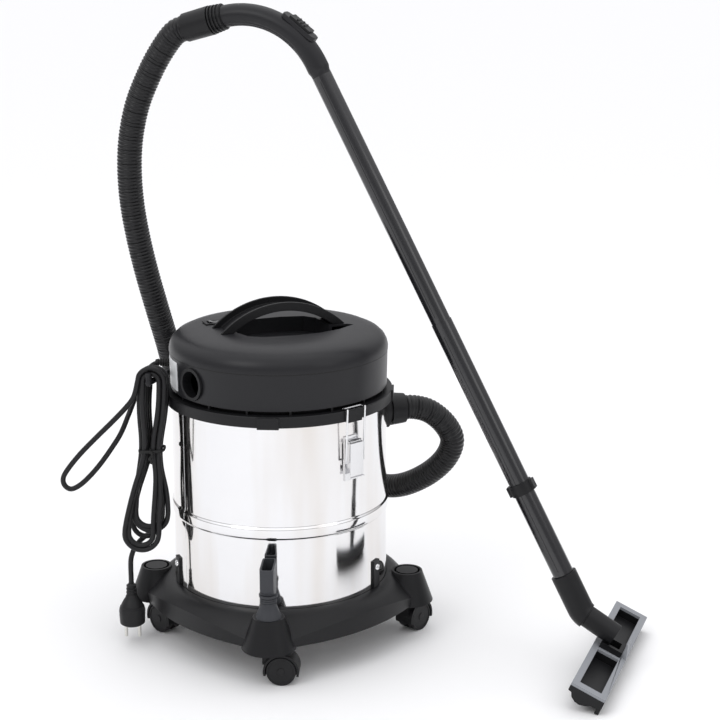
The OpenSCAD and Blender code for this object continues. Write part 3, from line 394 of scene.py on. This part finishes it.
def sweepTube(line, sides, radius, side):  # radius(i, way along, angle round) gives each point's distance
    verts, faces, gone = [], [], 0.0
    u = Vector(side)
    for i, p in enumerate(line):
        t = (line[min(i + 1, len(line) - 1)] - line[max(i - 1, 0)]).normalized()
        u = (u - u.dot(t) * t).normalized()
        w = t.cross(u)
        if i:
            gone += (p - line[i - 1]).length
        for k in range(sides):
            a = 2 * math.pi * k / sides
            r = radius(i, gone, a)
            verts.append(p + r * (u * math.cos(a) + w * math.sin(a)))
    for i in range(len(line) - 1):
        for k in range(sides):
            m = (k + 1) % sides
            faces.append((i * sides + k, i * sides + m, (i + 1) * sides + m, (i + 1) * sides + k))
    faces.append(tuple(range(sides - 1, -1, -1)))
    faces.append(tuple((len(line) - 1) * sides + k for k in range(sides)))
    return verts, faces


# hose and mains cord

hose = {"radius": 17.5, "ribDepth": 1.8, "ribPitch": 5.0, "sides": 36, "step": 0.00095}
hoseRoute = [(-126, 54, 851), (-143, 58, 843), (-164, 63, 816), (-183, 67, 782), (-200, 71, 742),
             (-211, 76, 696), (-215, 81, 650), (-214, 88, 602), (-208, 95, 552), (-199, 103, 501),
             (-188, 114, 448), (-177, 129, 394), (-169, 149, 345), (-153, 172, 296), (-110, 197, 248),
             (-48, 209, 212), (24, 206, 190), (84, 190, 176), (130, 154, 170), (166, 114, 182),
             (204, 94, 205), (232, 84, 234), (242, 78, 264), (231, 72, 290), (209, 67, 310), (186, 60, 318),
             (167, 54, 318)]


def makeHose():
    line, total = evenly(splineThrough([inFrame(*p) for p in hoseRoute], 20), hose["step"])
    top, deep, pitch = hose["radius"] / 1000, hose["ribDepth"] / 1000, hose["ribPitch"] / 1000

    def ribbed(i, way, angle):
        return top - deep * (1 - abs(math.cos(math.pi * way / pitch)) ** 0.7)

    piece = makePiece("suctionHose", *sweepTube(line, hose["sides"], ribbed, (0, 1, 0)), "hose_black", "machine", 75,
                      ["hose_tube"])
    print("hose", round(total, 3), "m")


cord = {"radius": 3.6, "sides": 14, "step": 0.0022, "topZ": 388, "bottomZ": 184, "tieZ": 290, "tiePull": 8.6,
        "layers": [-77, -69.5, -62, -54.5], "sag": [-14, -14, 12, 12, -6, 0], "sway": [-9, -9, 3, 3, -5, 0]}
leadRoute = [(-160, 11, 392), (-168, 12, 392), (-178, 6, 389), (-187, -12, 380), (-194, -32, 360), (-204, -50, 332),
             (-214, -58, 308), (-228, -62, 286), (-244, -65, 264), (-260, -67, 246), (-273, -69, 235),
             (-284, -71, 231), (-292, -72, 237), (-293, -73, 248), (-285, -74, 262), (-268, -75, 283), (-246, -76, 306),
             (-222, -77, 330), (-203, -77, 350), (-191, -77, 366)]
tailRoute = [(-181, -56, 161), (-192, -58, 152), (-200, -59, 141), (-205, -60, 127), (-206, -60, 112), (-206, -60, 98),
             (-206, -60, 86), (-206, -60, 76)]


def hankTurns():  # six turns over the peg, wound in and out through four layers
    order = [(0, 1), (0, 0), (1, 0), (1, 1), (2, 0), (3, 0)]  # layer, outer or inner
    rows = []
    for n, (layer, outer) in enumerate(order):
        nextLayer, nextOuter = order[min(n + 1, len(order) - 1)]
        shape = []
        for q in range(48):
            t = q / 48
            late = min(1.0, max(0.0, (t - 0.5) / 0.4)) if n < len(order) - 1 else 0.0
            late = late * late * (3 - 2 * late)
            y = cord["layers"][layer] * (1 - late) + cord["layers"][nextLayer] * late
            grow = 7.5 * (outer * (1 - late) + nextOuter * late)
            pegX = -148.5 - 20 * (-16 - y) / 68 - (1.2 if layer == 3 else 0)
            topR, lowR, lowX = 11 + grow, 17.5 + grow, -178
            if t < 0.12:  # over the peg, left to right
                a = math.pi * (1 - t / 0.12)
                x, z = pegX + topR * math.cos(a), cord["topZ"] + topR * math.sin(a)
            elif t < 0.5:
                f = (t - 0.12) / 0.38
                x = (pegX + topR) * (1 - f) + (lowX + lowR) * f
                z = cord["topZ"] * (1 - f) + cord["bottomZ"] * f
            elif t < 0.64:
                a = -math.pi * (t - 0.5) / 0.14
                x, z = lowX + lowR * math.cos(a), cord["bottomZ"] + lowR * math.sin(a)
            else:
                f = (t - 0.64) / 0.36
                x = (lowX - lowR) * (1 - f) + (pegX - topR) * f
                z = cord["bottomZ"] * (1 - f) + cord["topZ"] * f
            middle = pegX + (lowX - pegX) * (cord["topZ"] - z) / (cord["topZ"] - cord["bottomZ"])
            pull = cord["tiePull"] * math.exp(-((z - cord["tieZ"]) / 46) ** 2)
            x += -pull if x > middle else pull
            hang = min(1.0, max(0.0, (cord["tieZ"] - 20 - z) / 80))
            hang = hang * hang * (3 - 2 * hang)
            x += cord["sway"][n] * hang
            z += cord["sag"][n] * hang
            x += 0.9 * math.sin(z / 23 + n * 2.1) * math.exp(-((z - 250) / 60) ** 2)
            if n == len(order) - 1 and t > 0.547:
                break
            shape.append((x, y, z))
        rows += shape
    return rows


def makeCord():
    route = leadRoute + hankTurns() + tailRoute
    line, total = evenly(splineThrough([inFrame(*p) for p in route], 8), cord["step"])
    radius = cord["radius"] / 1000
    piece = makePiece("mainsCord", *sweepTube(line, cord["sides"], lambda i, way, angle: radius, (0, 0, 1)),
                      "cord_black", "head", 75, ["cord_lead", "cord_hank", "cord_tail"])
    print("mains cord", round(total, 3), "m")
    return piece, line, total


plug = {"centre": (-206, -60), "foot": 28, "sides": 72}


def makePlug():
    profile = [(0, 0), (14.2, 0), (14.6, 0.6), (14.6, 1.8), (16.8, 1.8), (17.5, 2.5), (17.9, 8), (18.4, 18), (18.5, 20),
               (18.1, 23), (17.2, 26.5), (16.9, 27.2), (16.1, 27.4), (15.8, 28.2), (14.2, 32), (11.6, 36.5), (9.4, 40), (8.2, 43),
               (7.2, 44.5), (6.8, 46), (7.6, 46.8), (7.6, 48.8), (6.6, 49.6), (6.6, 51), (7.4, 51.8), (7.4, 53.8),
               (6.2, 54.6), (6.2, 56), (7.0, 56.8), (7.0, 58.6), (5.6, 59.4), (4.4, 61), (3.4, 61), (3.4, 44), (0, 44)]
    verts, faces = lathe([(r, z + plug["foot"]) for r, z in profile], plug["sides"], plug["centre"])
    count = plug["sides"]
    for i, v in enumerate(verts):  # shallow finger flats on two sides
        ring, k = divmod(i, count)
        a = 2 * math.pi * k / count
        height = profile[ring][1]
        if 3 < height < 26 and profile[ring][0] > 15:
            dent = 0.0011 * max(0.0, abs(math.sin(a)) - 0.8) / 0.2
            v.y -= math.copysign(dent, math.sin(a))
    piece = makePiece("mainsPlug", verts, faces, "cord_black", "head", 40, ["plug_body"])
    closeUp(piece.data)
    return piece


makeHose()
mainsCord, cordLine, cordTotal = makeCord()
mainsPlug = makePlug()


# pieces carried over from the frame, with rounded edges

carried = {  # node: body, edge width in millimetres, sharp angle
    "inlet_socket": ("machine", 0.6, 36), "inlet_gasket": ("machine", 0.0, 36),
    "latch_bracket_right": ("machine", 0.25, 36), "latch_bracket_left": ("machine", 0.25, 36),
    "latch_lever_right": ("lever_right", 0.3, 36), "latch_lever_left": ("lever_left", 0.3, 36),
    "latch_bail_right": ("bail_right", 0.0, 50), "latch_bail_left": ("bail_left", 0.0, 50),
    "base": ("machine", 1.8, 30), "rim_flange": ("head", 0.7, 30), "lower_housing": ("head", 0.7, 30),
    "blower_collar": ("head", 0.7, 34), "top_cover": ("head", 0.8, 26), "carry_handle": ("head", 0.8, 30),
    "switch_bezel": ("head", 0.5, 30), "switch_rocker": ("rocker", 0.5, 30),
    "rating_plate": ("head", 0.0, 30), "cord_hook": ("head", 0.4, 40),
    "hose_connector": ("machine", 0.6, 34), "hose_cuff": ("machine", 0.4, 34),
    "relief_slider": ("relief", 0.4, 30), "wand_upper": ("machine", 0.4, 30), "wand_lower": ("machine", 0.4, 30),
    "wand_collar": ("machine", 0.6, 34), "nozzle_elbow": ("machine", 0.8, 34), "nozzle_body": ("nozzle", 0.6, 30),
    "nozzle_frame": ("nozzle", 0.6, 30), "nozzle_squeegee": ("nozzle", 0.3, 30), "plug_pins": ("head", 0.6, 34),
}
for side in ("front", "right", "back", "left"):
    carried["caster_hood_" + side] = ("caster_" + side, 0.6, 34)
    carried["wheel_pair_" + side] = ("wheels_" + side, 0.8, 34)


def pieceName(node):
    words = node.split("_")
    return words[0] + "".join(w.capitalize() for w in words[1:])


def carryOver(node, body, edge, sharp):
    mesh = nodes[node].data.copy()
    mesh.name = pieceName(node)
    tidy = bmesh.new()
    tidy.from_mesh(mesh)
    bmesh.ops.remove_doubles(tidy, verts=tidy.verts, dist=1e-6)
    bmesh.ops.dissolve_limit(tidy, angle_limit=math.radians(0.6), verts=tidy.verts, edges=tidy.edges)
    clean = bpy.data.meshes.new(pieceName(node))
    tidy.to_mesh(clean)
    tidy.free()
    for layer in [a.name for a in clean.attributes if "normal" in a.name]:
        clean.attributes.remove(clean.attributes[layer])
    piece = finishPiece(pieceName(node), clean, slotOf[node], body, sharp, [node])
    if edge:
        roundEdges(piece, edge / 1000, sharp)
    return piece


made = {node: carryOver(node, *spec) for node, spec in carried.items()}
for node in ("inlet_deflector", "head_seal", "motor_casing", "motor_rotor", "motor_bearings", "float_cage",
             "float_ball", "filter_sleeve"):
    data = nodes[node].data
    data.materials.clear()
    data.materials.append(paint[slotOf[node]])
print("carried over:", len(made))


# steel drum, turned from its profile

drum = {"radius": 150, "foot": 76, "top": 356, "beadLow": 190, "beadHigh": 209, "beadOut": 2.4, "roll": 2.2, "sides": 256}


def makeDrum():
    r, foot, top, out = drum["radius"], drum["foot"], drum["top"], drum["beadOut"]
    profile = [(0, foot), (r - 5, foot), (r - 3, foot + 0.3), (r - 1.2, foot + 1.2), (r - 0.3, foot + 3), (r, foot + 5)]
    low, high = drum["beadLow"], drum["beadHigh"]
    profile += [(r, z) for z in (foot + 30, foot + 60, foot + 90, low - 3, low - 0.8)]
    for k in range(9):
        f = k / 8
        profile.append((r + out * (0.5 - 0.5 * math.cos(math.pi * f)), low + 4.4 * f))
    for k in range(9):
        f = 1 - k / 8
        profile.append((r + out * (0.5 - 0.5 * math.cos(math.pi * f)), high - 4.4 * f))
    profile += [(r, z) for z in (high + 0.8, high + 3, high + 50, high + 100, top - 2 * drum["roll"] - 2)]
    centre = top - drum["roll"]
    for k in range(15):
        a = math.radians(-80 + 250 * k / 14)
        profile.append((r + drum["roll"] * math.cos(a), centre + drum["roll"] * math.sin(a)))
    profile += [(r - 1.2, centre - 1), (r - 1.2, high), (r - 1.2, foot + 4), (r - 4, foot + 1.2), (0, foot + 1.2)]
    verts, faces = lathe(profile, drum["sides"], (0, 0))
    piece = makePiece("steelDrum", verts, faces, "drum_steel", "machine", 60, ["drum"])
    closeUp(piece.data)


def makeWeldSeam():  # low rounded weld line down the drum's side
    az, rows, verts, faces = math.radians(-55), [], [], []
    for z in range(80, 352, 4):
        lift = 2.4 if 193 < z < 206 else (0 if z < 189 or z > 210 else 1.2)
        for k in range(5):
            off = (k - 2) * 0.55
            r = 149.9 + lift + (0.0, 0.24, 0.34, 0.24, 0.0)[k]
            a = az + off / 150
            verts.append(inFrame(r * math.sin(a), -r * math.cos(a), z))
        rows.append(len(verts) - 5)
    for i in range(len(rows) - 1):
        for k in range(4):
            faces.append((rows[i] + k, rows[i] + k + 1, rows[i + 1] + k + 1, rows[i + 1] + k))
    makePiece("drumSeam", verts, faces, "bright_steel", "machine", 60)


dome = {"seamR": 151.0, "seamZ": 419.5, "lineWidth": 1.1, "proud": 0.35, "sides": 192}


def makeDomeSeamShade():  # painted shade: a dark ring standing in for the shadow line in the groove under the dome's lower edge
    r, z, w, out = dome["seamR"], dome["seamZ"], dome["lineWidth"], dome["proud"]
    profile = [(r - 1.5, z - w), (r + 0.5 * out, z - w), (r + out, z - 0.7 * w), (r + out, z - 0.3 * w), (r + 0.5 * out, z),
               (r - 1.5, z)]
    verts, faces = lathe(profile, dome["sides"], (0, 0))
    n, last = dome["sides"], len(profile) - 1
    faces += [(last * n + k, last * n + (k + 1) % n, (k + 1) % n, k) for k in range(n)]
    makePiece("domeSeam", verts, faces, "seal_rubber", "head", 50)


makeDrum()
makeWeldSeam()
makeDomeSeamShade()
print("drum ready")


# bent hand tube with its neck, grip grooves and slider pad

handTube = {"bend": 118, "radius": 15.0, "from": 27.7, "to": 106, "grooveDepth": 0.9, "sides": 72}


def makeHandTube():
    arcS, arcZ, bend, lean = -529.5, 752.5, handTube["bend"], math.radians(handTube["from"])
    up = (-math.sin(lean), math.cos(lean))
    start = (arcS + bend * math.cos(lean), arcZ + bend * math.sin(lean))
    route, radii = [], []
    for k in range(13):  # neck step up from the wand
        d = -18 + 18 * k / 12
        route.append(inWandPlane(start[0] + up[0] * d, start[1] + up[1] * d))
        f = min(1, max(0, (d + 13) / 7))
        radii.append(13.3 + 1.7 * f * f * (3 - 2 * f))
    for k in range(1, 73):
        a = math.radians(handTube["from"] + (handTube["to"] - handTube["from"]) * k / 72)
        route.append(inWandPlane(arcS + bend * math.cos(a), arcZ + bend * math.sin(a)))
        radii.append(handTube["radius"])
    end = math.radians(handTube["to"])
    for k in range(1, 6):
        d = 4 * k
        route.append(inWandPlane(arcS + bend * math.cos(end) - math.sin(end) * d,
                                 arcZ + bend * math.sin(end) + math.cos(end) * d))
        radii.append(handTube["radius"])
    yaw = wandFoot["turn"]
    outward = Vector((math.cos(yaw) * math.cos(lean), math.sin(yaw) * math.cos(lean), math.sin(lean)))

    def grooved(i, way, angle):
        r = radii[i]
        along = min(1, max(0, (i - 24) / 5)) * min(1, max(0, (82 - i) / 5))
        inner = abs(math.degrees(angle) - 180)
        wave = 0.5 - 0.5 * math.cos(math.radians(inner * 360 / 15))
        if inner < 60:
            r -= handTube["grooveDepth"] * along * wave
        return r / 1000

    piece = makePiece("handTube", *sweepTube(route, handTube["sides"], grooved, outward), "charcoal_plastic", "machine",
                      50, ["hand_tube"])
    turn = Matrix.Rotation(yaw, 4, "Z") @ Matrix.Rotation(math.radians(38), 4, "Y")
    centre = inWandPlane(arcS, arcZ)
    pad = bmesh.new()
    bmesh.ops.create_cube(pad, size=1)
    for v in pad.verts:
        v.co = Vector((v.co.x * 0.056, v.co.y * 0.022, 0.133 - 0.001 + v.co.z * 0.006))
    bmesh.ops.bevel(pad, geom=[e for e in pad.edges if abs((e.verts[0].co - e.verts[1].co).z) > 0.003], offset=0.0075,
                    segments=6, affect="EDGES", profile=0.5)
    bmesh.ops.bevel(pad, geom=[e for e in pad.edges if min(v.co.z for v in e.verts) > 0.134], offset=0.0009, segments=3,
                    affect="EDGES", profile=0.5)
    bmesh.ops.transform(pad, matrix=Matrix.Translation(centre) @ turn, verts=pad.verts)
    mesh = bpy.data.meshes.new("reliefPad")
    pad.to_mesh(mesh)
    pad.free()
    finishPiece("reliefPad", mesh, "charcoal_plastic", "machine", 36)
    return piece


makeHandTube()
print("hand tube ready")


# small nozzle kept on the front post

smallNozzle = {"sides": 64, "wall": 2.4}


def ringOf(halfX, halfY, power, centreY, z, sides):
    ring = []
    for k in range(sides):
        a = 2 * math.pi * k / sides
        c, s = math.cos(a), math.sin(a)
        ring.append(inFrame(math.copysign(abs(c) ** (2 / power), c) * halfX,
                            centreY + math.copysign(abs(s) ** (2 / power), s) * halfY, z))
    return ring


def makeSmallNozzle():
    n, wall = smallNozzle["sides"], smallNozzle["wall"]
    rings = []
    for r, z in [(16.2, 82.6), (18.1, 82.6), (18.1, 93.6), (17.8, 94.2), (15.6, 99.5), (13.2, 105), (11.4, 110), (10.7, 113)]:
        rings.append(ringOf(r, r, 2, -180, z, n))
    for z in (113.6, 116.8, 120.0):
        for dr, dz in ((0, 0), (0.9, 0.3), (0.9, 1.4), (0, 1.8)):
            rings.append(ringOf(10.6 + dr, 10.6 + dr, 2, -180, z + dz, n))
    for dr, z in ((10.6, 122.4), (12.2, 122.8), (12.5, 123.4), (12.5, 126.2), (12.0, 126.9)):
        rings.append(ringOf(dr, dr, 2, -180, z, n))
    for f, z in ((0.0, 127.2), (0.25, 129), (0.55, 132), (0.85, 136.5), (1.0, 141), (1.0, 152), (1.0, 165.8), (0.985, 166.8), (0.96, 167.0)):
        g = min(f, 1)
        rings.append(ringOf(10.6 * (1 - g) + 9.5 * g, 11 * (1 - g) + 24 * g, 2 + 7 * g, -180 + 2 * g, z, n))
    for f, z in ((1.0, 167.0), (1.0, 166.4), (1.0, 141), (0.6, 134), (0.2, 129), (0.05, 120), (0.0, 112)):
        rings.append(ringOf((10.6 - 3) * (1 - f) + (9.5 - wall) * f, 8 * (1 - f) + (24 - wall) * f, 2 + 6 * f, -180 + 2 * f, z, n))
    for r, z in ((10, 106), (14, 97), (15.9, 93), (16.0, 82.6)):
        rings.append(ringOf(r, r, 2, -180, z, n))
    verts = [v for ring in rings for v in ring]
    faces = []
    for i in range(len(rings)):
        j = (i + 1) % len(rings)
        for k in range(n):
            m = (k + 1) % n
            faces.append((i * n + k, i * n + m, j * n + m, j * n + k))
    makePiece("smallNozzle", verts, faces, "dark_grey_plastic", "accessory", 34, ["accessory_nozzle"])


makeSmallNozzle()


# strain relief and cord tie

relief = {"az": -94, "z": 392, "from": 150.2, "rings": 5}


def makeStrainRelief():
    profile = [(8.0, 0), (8.0, 2.2), (7.4, 2.8), (6.7, 3.2)]
    for k in range(relief["rings"]):
        s, r = 4.2 + k * 3.6, 6.6 - 0.42 * k
        profile += [(r - 1.0, s), (r - 1.0, s + 1.0), (r, s + 1.4), (r, s + 3.0)]
    profile += [(4.3, 22.6), (4.2, 24.5), (3.3, 24.6), (3.3, -2), (8.0, -2)]
    a = math.radians(relief["az"])
    out = Vector((math.sin(a), -math.cos(a), 0))
    side = Vector((-out.y, out.x, 0))
    sides, verts, faces = 32, [], []
    for r, s in profile:
        for k in range(sides):
            t = 2 * math.pi * k / sides
            p = out * (relief["from"] + s) + side * (r * math.cos(t)) + Vector((0, 0, r * math.sin(t) + relief["z"]))
            verts.append(inFrame(*p))
    for i in range(len(profile)):
        j = (i + 1) % len(profile)
        for k in range(sides):
            m = (k + 1) % sides
            faces.append((i * sides + k, i * sides + m, j * sides + m, j * sides + k))
    return makePiece("strainRelief", verts, faces, "seal_rubber", "head", 40, ["cord_gland"])


def makeCordTie():  # soft twist tie round the bundle, its two ends twisted together in front
    band = []
    for k in range(40):
        a = 2 * math.pi * k / 40
        c, s = math.cos(a), math.sin(a)
        band.append((-169.5 + math.copysign(abs(c) ** 0.55, c) * 17.0, -66 + math.copysign(abs(s) ** 0.55, s) * 16.2,
                     289 + 1.6 * math.cos(a + 0.7)))
    route = [inFrame(*p) for p in band[30:] + band[:31]]
    route += [inFrame(-168.5 + 1.6 * math.sin(k * 1.1), -84 - 0.7 * k, 289 - 1.6 * k + 1.2 * math.cos(k * 1.1)) for k in range(9)]
    line, _ = evenly(splineThrough(route, 4), 0.0012)
    verts, faces = sweepTube(line, 10, lambda i, way, angle: 0.0009 + 0.0013 * abs(math.cos(angle)), (0, 0, 1))
    return makePiece("cordTie", verts, faces, "seal_rubber", "head", 60, ["cord_tie"])


strainRelief = makeStrainRelief()
cordTie = makeCordTie()
print("cord pieces ready")


# repeated small pieces, made with geometry nodes

def newTree(name, ins):
    tree = bpy.data.node_groups.new(name, "GeometryNodeTree")
    tree.interface.new_socket("Geometry", in_out="INPUT", socket_type="NodeSocketGeometry")
    for label, kind, value in ins:
        socket = tree.interface.new_socket(label, in_out="INPUT", socket_type=kind)
        socket.default_value = value
    tree.interface.new_socket("Geometry", in_out="OUTPUT", socket_type="NodeSocketGeometry")
    return tree, tree.nodes.new("NodeGroupInput"), tree.nodes.new("NodeGroupOutput")


def treeResult(name, tree, carrier, values, slot, body, replaces=(), sharp=36):
    bpy.context.view_layer.update()
    fitted = carrier.modifiers.new("build", "NODES")
    fitted.node_group = tree
    for item in tree.interface.items_tree:
        if item.item_type == "SOCKET" and item.in_out == "INPUT" and item.name in values:
            fitted[item.identifier] = values[item.name]
    carrier.update_tag()
    graph = bpy.context.evaluated_depsgraph_get()
    mesh = bpy.data.meshes.new_from_object(carrier.evaluated_get(graph))
    carrier.modifiers.remove(fitted)
    old = carrier.data
    bpy.data.objects.remove(carrier)
    bpy.data.meshes.remove(old)
    mesh.name = name
    return finishPiece(name, mesh, slot, body, sharp, replaces)


def carrierOf(points, turns):
    mesh = bpy.data.meshes.new("carrier")
    mesh.from_pydata([tuple(p) for p in points], [], [])
    turn = mesh.attributes.new("turn", "FLOAT_VECTOR", "POINT")
    for i, t in enumerate(turns):
        turn.data[i].vector = t
    piece = bpy.data.objects.new("carrier", mesh)
    scene.collection.objects.link(piece)
    return piece


def instanceTree(name, source, ins, scatter):
    tree, start, end = newTree(name, ins)
    put = tree.nodes.new("GeometryNodeInstanceOnPoints")
    item = tree.nodes.new("GeometryNodeObjectInfo")
    item.inputs["Object"].default_value = source
    turn = tree.nodes.new("GeometryNodeInputNamedAttribute")
    turn.data_type = "FLOAT_VECTOR"
    turn.inputs["Name"].default_value = "turn"
    real = tree.nodes.new("GeometryNodeRealizeInstances")
    coat = tree.nodes.new("GeometryNodeSetMaterial")
    size = tree.nodes.new("ShaderNodeCombineXYZ")
    for axis in "XYZ":
        tree.links.new(start.outputs["Size"], size.inputs[axis])
    tree.links.new(start.outputs["Geometry"], put.inputs["Points"])
    tree.links.new(item.outputs["Geometry"], put.inputs["Instance"])
    if scatter:
        wild = tree.nodes.new("FunctionNodeRandomValue")
        wild.data_type = "FLOAT_VECTOR"
        spread = tree.nodes.new("ShaderNodeCombineXYZ")
        back = tree.nodes.new("ShaderNodeVectorMath")
        back.operation = "SCALE"
        back.inputs["Scale"].default_value = -1
        for axis in "XYZ":
            tree.links.new(start.outputs["Tilt"], spread.inputs[axis])
        tree.links.new(spread.outputs[0], back.inputs[0])
        tree.links.new(back.outputs[0], wild.inputs["Min"])
        tree.links.new(spread.outputs[0], wild.inputs["Max"])
        tree.links.new(start.outputs["Seed"], wild.inputs["Seed"])
        both = tree.nodes.new("ShaderNodeVectorMath")
        tree.links.new(turn.outputs[0], both.inputs[0])
        tree.links.new(wild.outputs[0], both.inputs[1])
        tree.links.new(both.outputs[0], put.inputs["Rotation"])
    else:
        tree.links.new(turn.outputs[0], put.inputs["Rotation"])
    tree.links.new(size.outputs[0], put.inputs["Scale"])
    tree.links.new(put.outputs[0], real.inputs[0])
    tree.links.new(real.outputs[0], coat.inputs["Geometry"])
    coat.inputs["Material"].default_value = paint["bright_steel" if not scatter else "brush_fibre"]
    tree.links.new(coat.outputs[0], end.inputs["Geometry"])
    return tree


def screwHead():  # pan head with a cross recess, its top towards +Z, unit in millimetres
    shape = bmesh.new()
    rings = [(0.0, 2.6), (0.55, 2.6), (1.9, 2.55), (3.4, 2.2), (4.5, 1.4), (5.0, 0.4), (5.0, -0.6), (2.2, -0.6), (2.2, -3.0)]
    sides, loops = 32, []
    for r, z in rings:
        loops.append([shape.verts.new((r * math.cos(2 * math.pi * k / sides), r * math.sin(2 * math.pi * k / sides), z))
                      for k in range(sides)])
    for a, b in zip(loops, loops[1:]):
        for k in range(sides):
            shape.faces.new((a[k], b[k], b[(k + 1) % sides], a[(k + 1) % sides]))
    bmesh.ops.remove_doubles(shape, verts=shape.verts, dist=1e-4)
    for v in shape.verts:  # press the cross down between the arms
        r = math.hypot(v.co.x, v.co.y)
        a = math.degrees(math.atan2(v.co.y, v.co.x)) % 90
        if v.co.z > 2.3 and r < 2.3 and (a < 14 or a > 76 or r < 0.9):
            v.co.z -= 1.2
    bmesh.ops.recalc_face_normals(shape, faces=shape.faces)
    bmesh.ops.scale(shape, vec=(0.001, 0.001, 0.001), verts=shape.verts)
    mesh = bpy.data.meshes.new("screwHead")
    shape.to_mesh(mesh)
    shape.free()
    source = bpy.data.objects.new("screwHead", mesh)
    scene.collection.objects.link(source)
    return source


screws = {"az": (66, -66, 114, -114), "z": 121, "out": 153.1, "size": 1.0}


def makeBaseScrews():
    source = screwHead()
    points, turns = [], []
    for n, az in enumerate(screws["az"]):
        a = math.radians(az)
        points.append(inFrame(screws["out"] * math.sin(a), -screws["out"] * math.cos(a), screws["z"]))
        turns.append((math.radians(90), math.radians(17 * n), a))
    tree = instanceTree("screwRing", source, [("Size", "NodeSocketFloat", 1.0)], False)
    treeResult("baseScrews", tree, carrierOf(points, turns), {"Size": screws["size"]}, "bright_steel", "machine", ["base_screws"])
    bpy.data.objects.remove(source)


bristles = {"perRow": 92, "rows": (-5.0, -3.0, -1.0), "half": 135, "tilt": 0.16, "seed": 4, "length": 5.0}


def makeBristles():
    shape = bmesh.new()
    for k, (r, z) in enumerate(((0.5, 0.0), (0.45, -2.5), (0.16, -bristles["length"]))):
        for m in range(5):
            shape.verts.new((r * math.cos(m * 1.2566), r * math.sin(m * 1.2566), z))
    shape.verts.ensure_lookup_table()
    for k in range(2):
        for m in range(5):
            n = (m + 1) % 5
            shape.faces.new([shape.verts[i] for i in (k * 5 + m, (k + 1) * 5 + m, (k + 1) * 5 + n, k * 5 + n)])
    shape.faces.new([shape.verts[i] for i in (0, 1, 2, 3, 4)])
    shape.faces.new([shape.verts[i] for i in (14, 13, 12, 11, 10)])
    bmesh.ops.recalc_face_normals(shape, faces=shape.faces)
    bmesh.ops.scale(shape, vec=(0.001, 0.001, 0.001), verts=shape.verts)
    mesh = bpy.data.meshes.new("oneBristle")
    shape.to_mesh(mesh)
    shape.free()
    source = bpy.data.objects.new("oneBristle", mesh)
    scene.collection.objects.link(source)
    yaw, tip = wandFoot["turn"], math.radians(23.2)
    place = (Matrix.Translation(inFrame(wandFoot["x"], wandFoot["y"], 31.71)) @ Matrix.Rotation(yaw, 4, "Z")
             @ Matrix.Rotation(tip, 4, "Y"))
    points, turns = [], []
    for row, x in enumerate(bristles["rows"]):
        for k in range(bristles["perRow"]):
            y = -bristles["half"] + 2 * bristles["half"] * (k + 0.5 * (row % 2)) / bristles["perRow"]
            points.append(place @ Vector((x / 1000, y / 1000, -0.0205)))
            turns.append(tuple(place.to_euler()))
    tree = instanceTree("bristleRows", source, [("Size", "NodeSocketFloat", 1.0), ("Tilt", "NodeSocketFloat", 0.1),
                                                ("Seed", "NodeSocketInt", 0)], True)
    treeResult("nozzleBristles", tree, carrierOf(points, turns),
               {"Size": 1.0, "Tilt": bristles["tilt"], "Seed": bristles["seed"]}, "brush_fibre", "nozzle", ["nozzle_brush"], 60)
    bpy.data.objects.remove(source)


makeBaseScrews()
makeBristles()
print("screws and bristles ready")
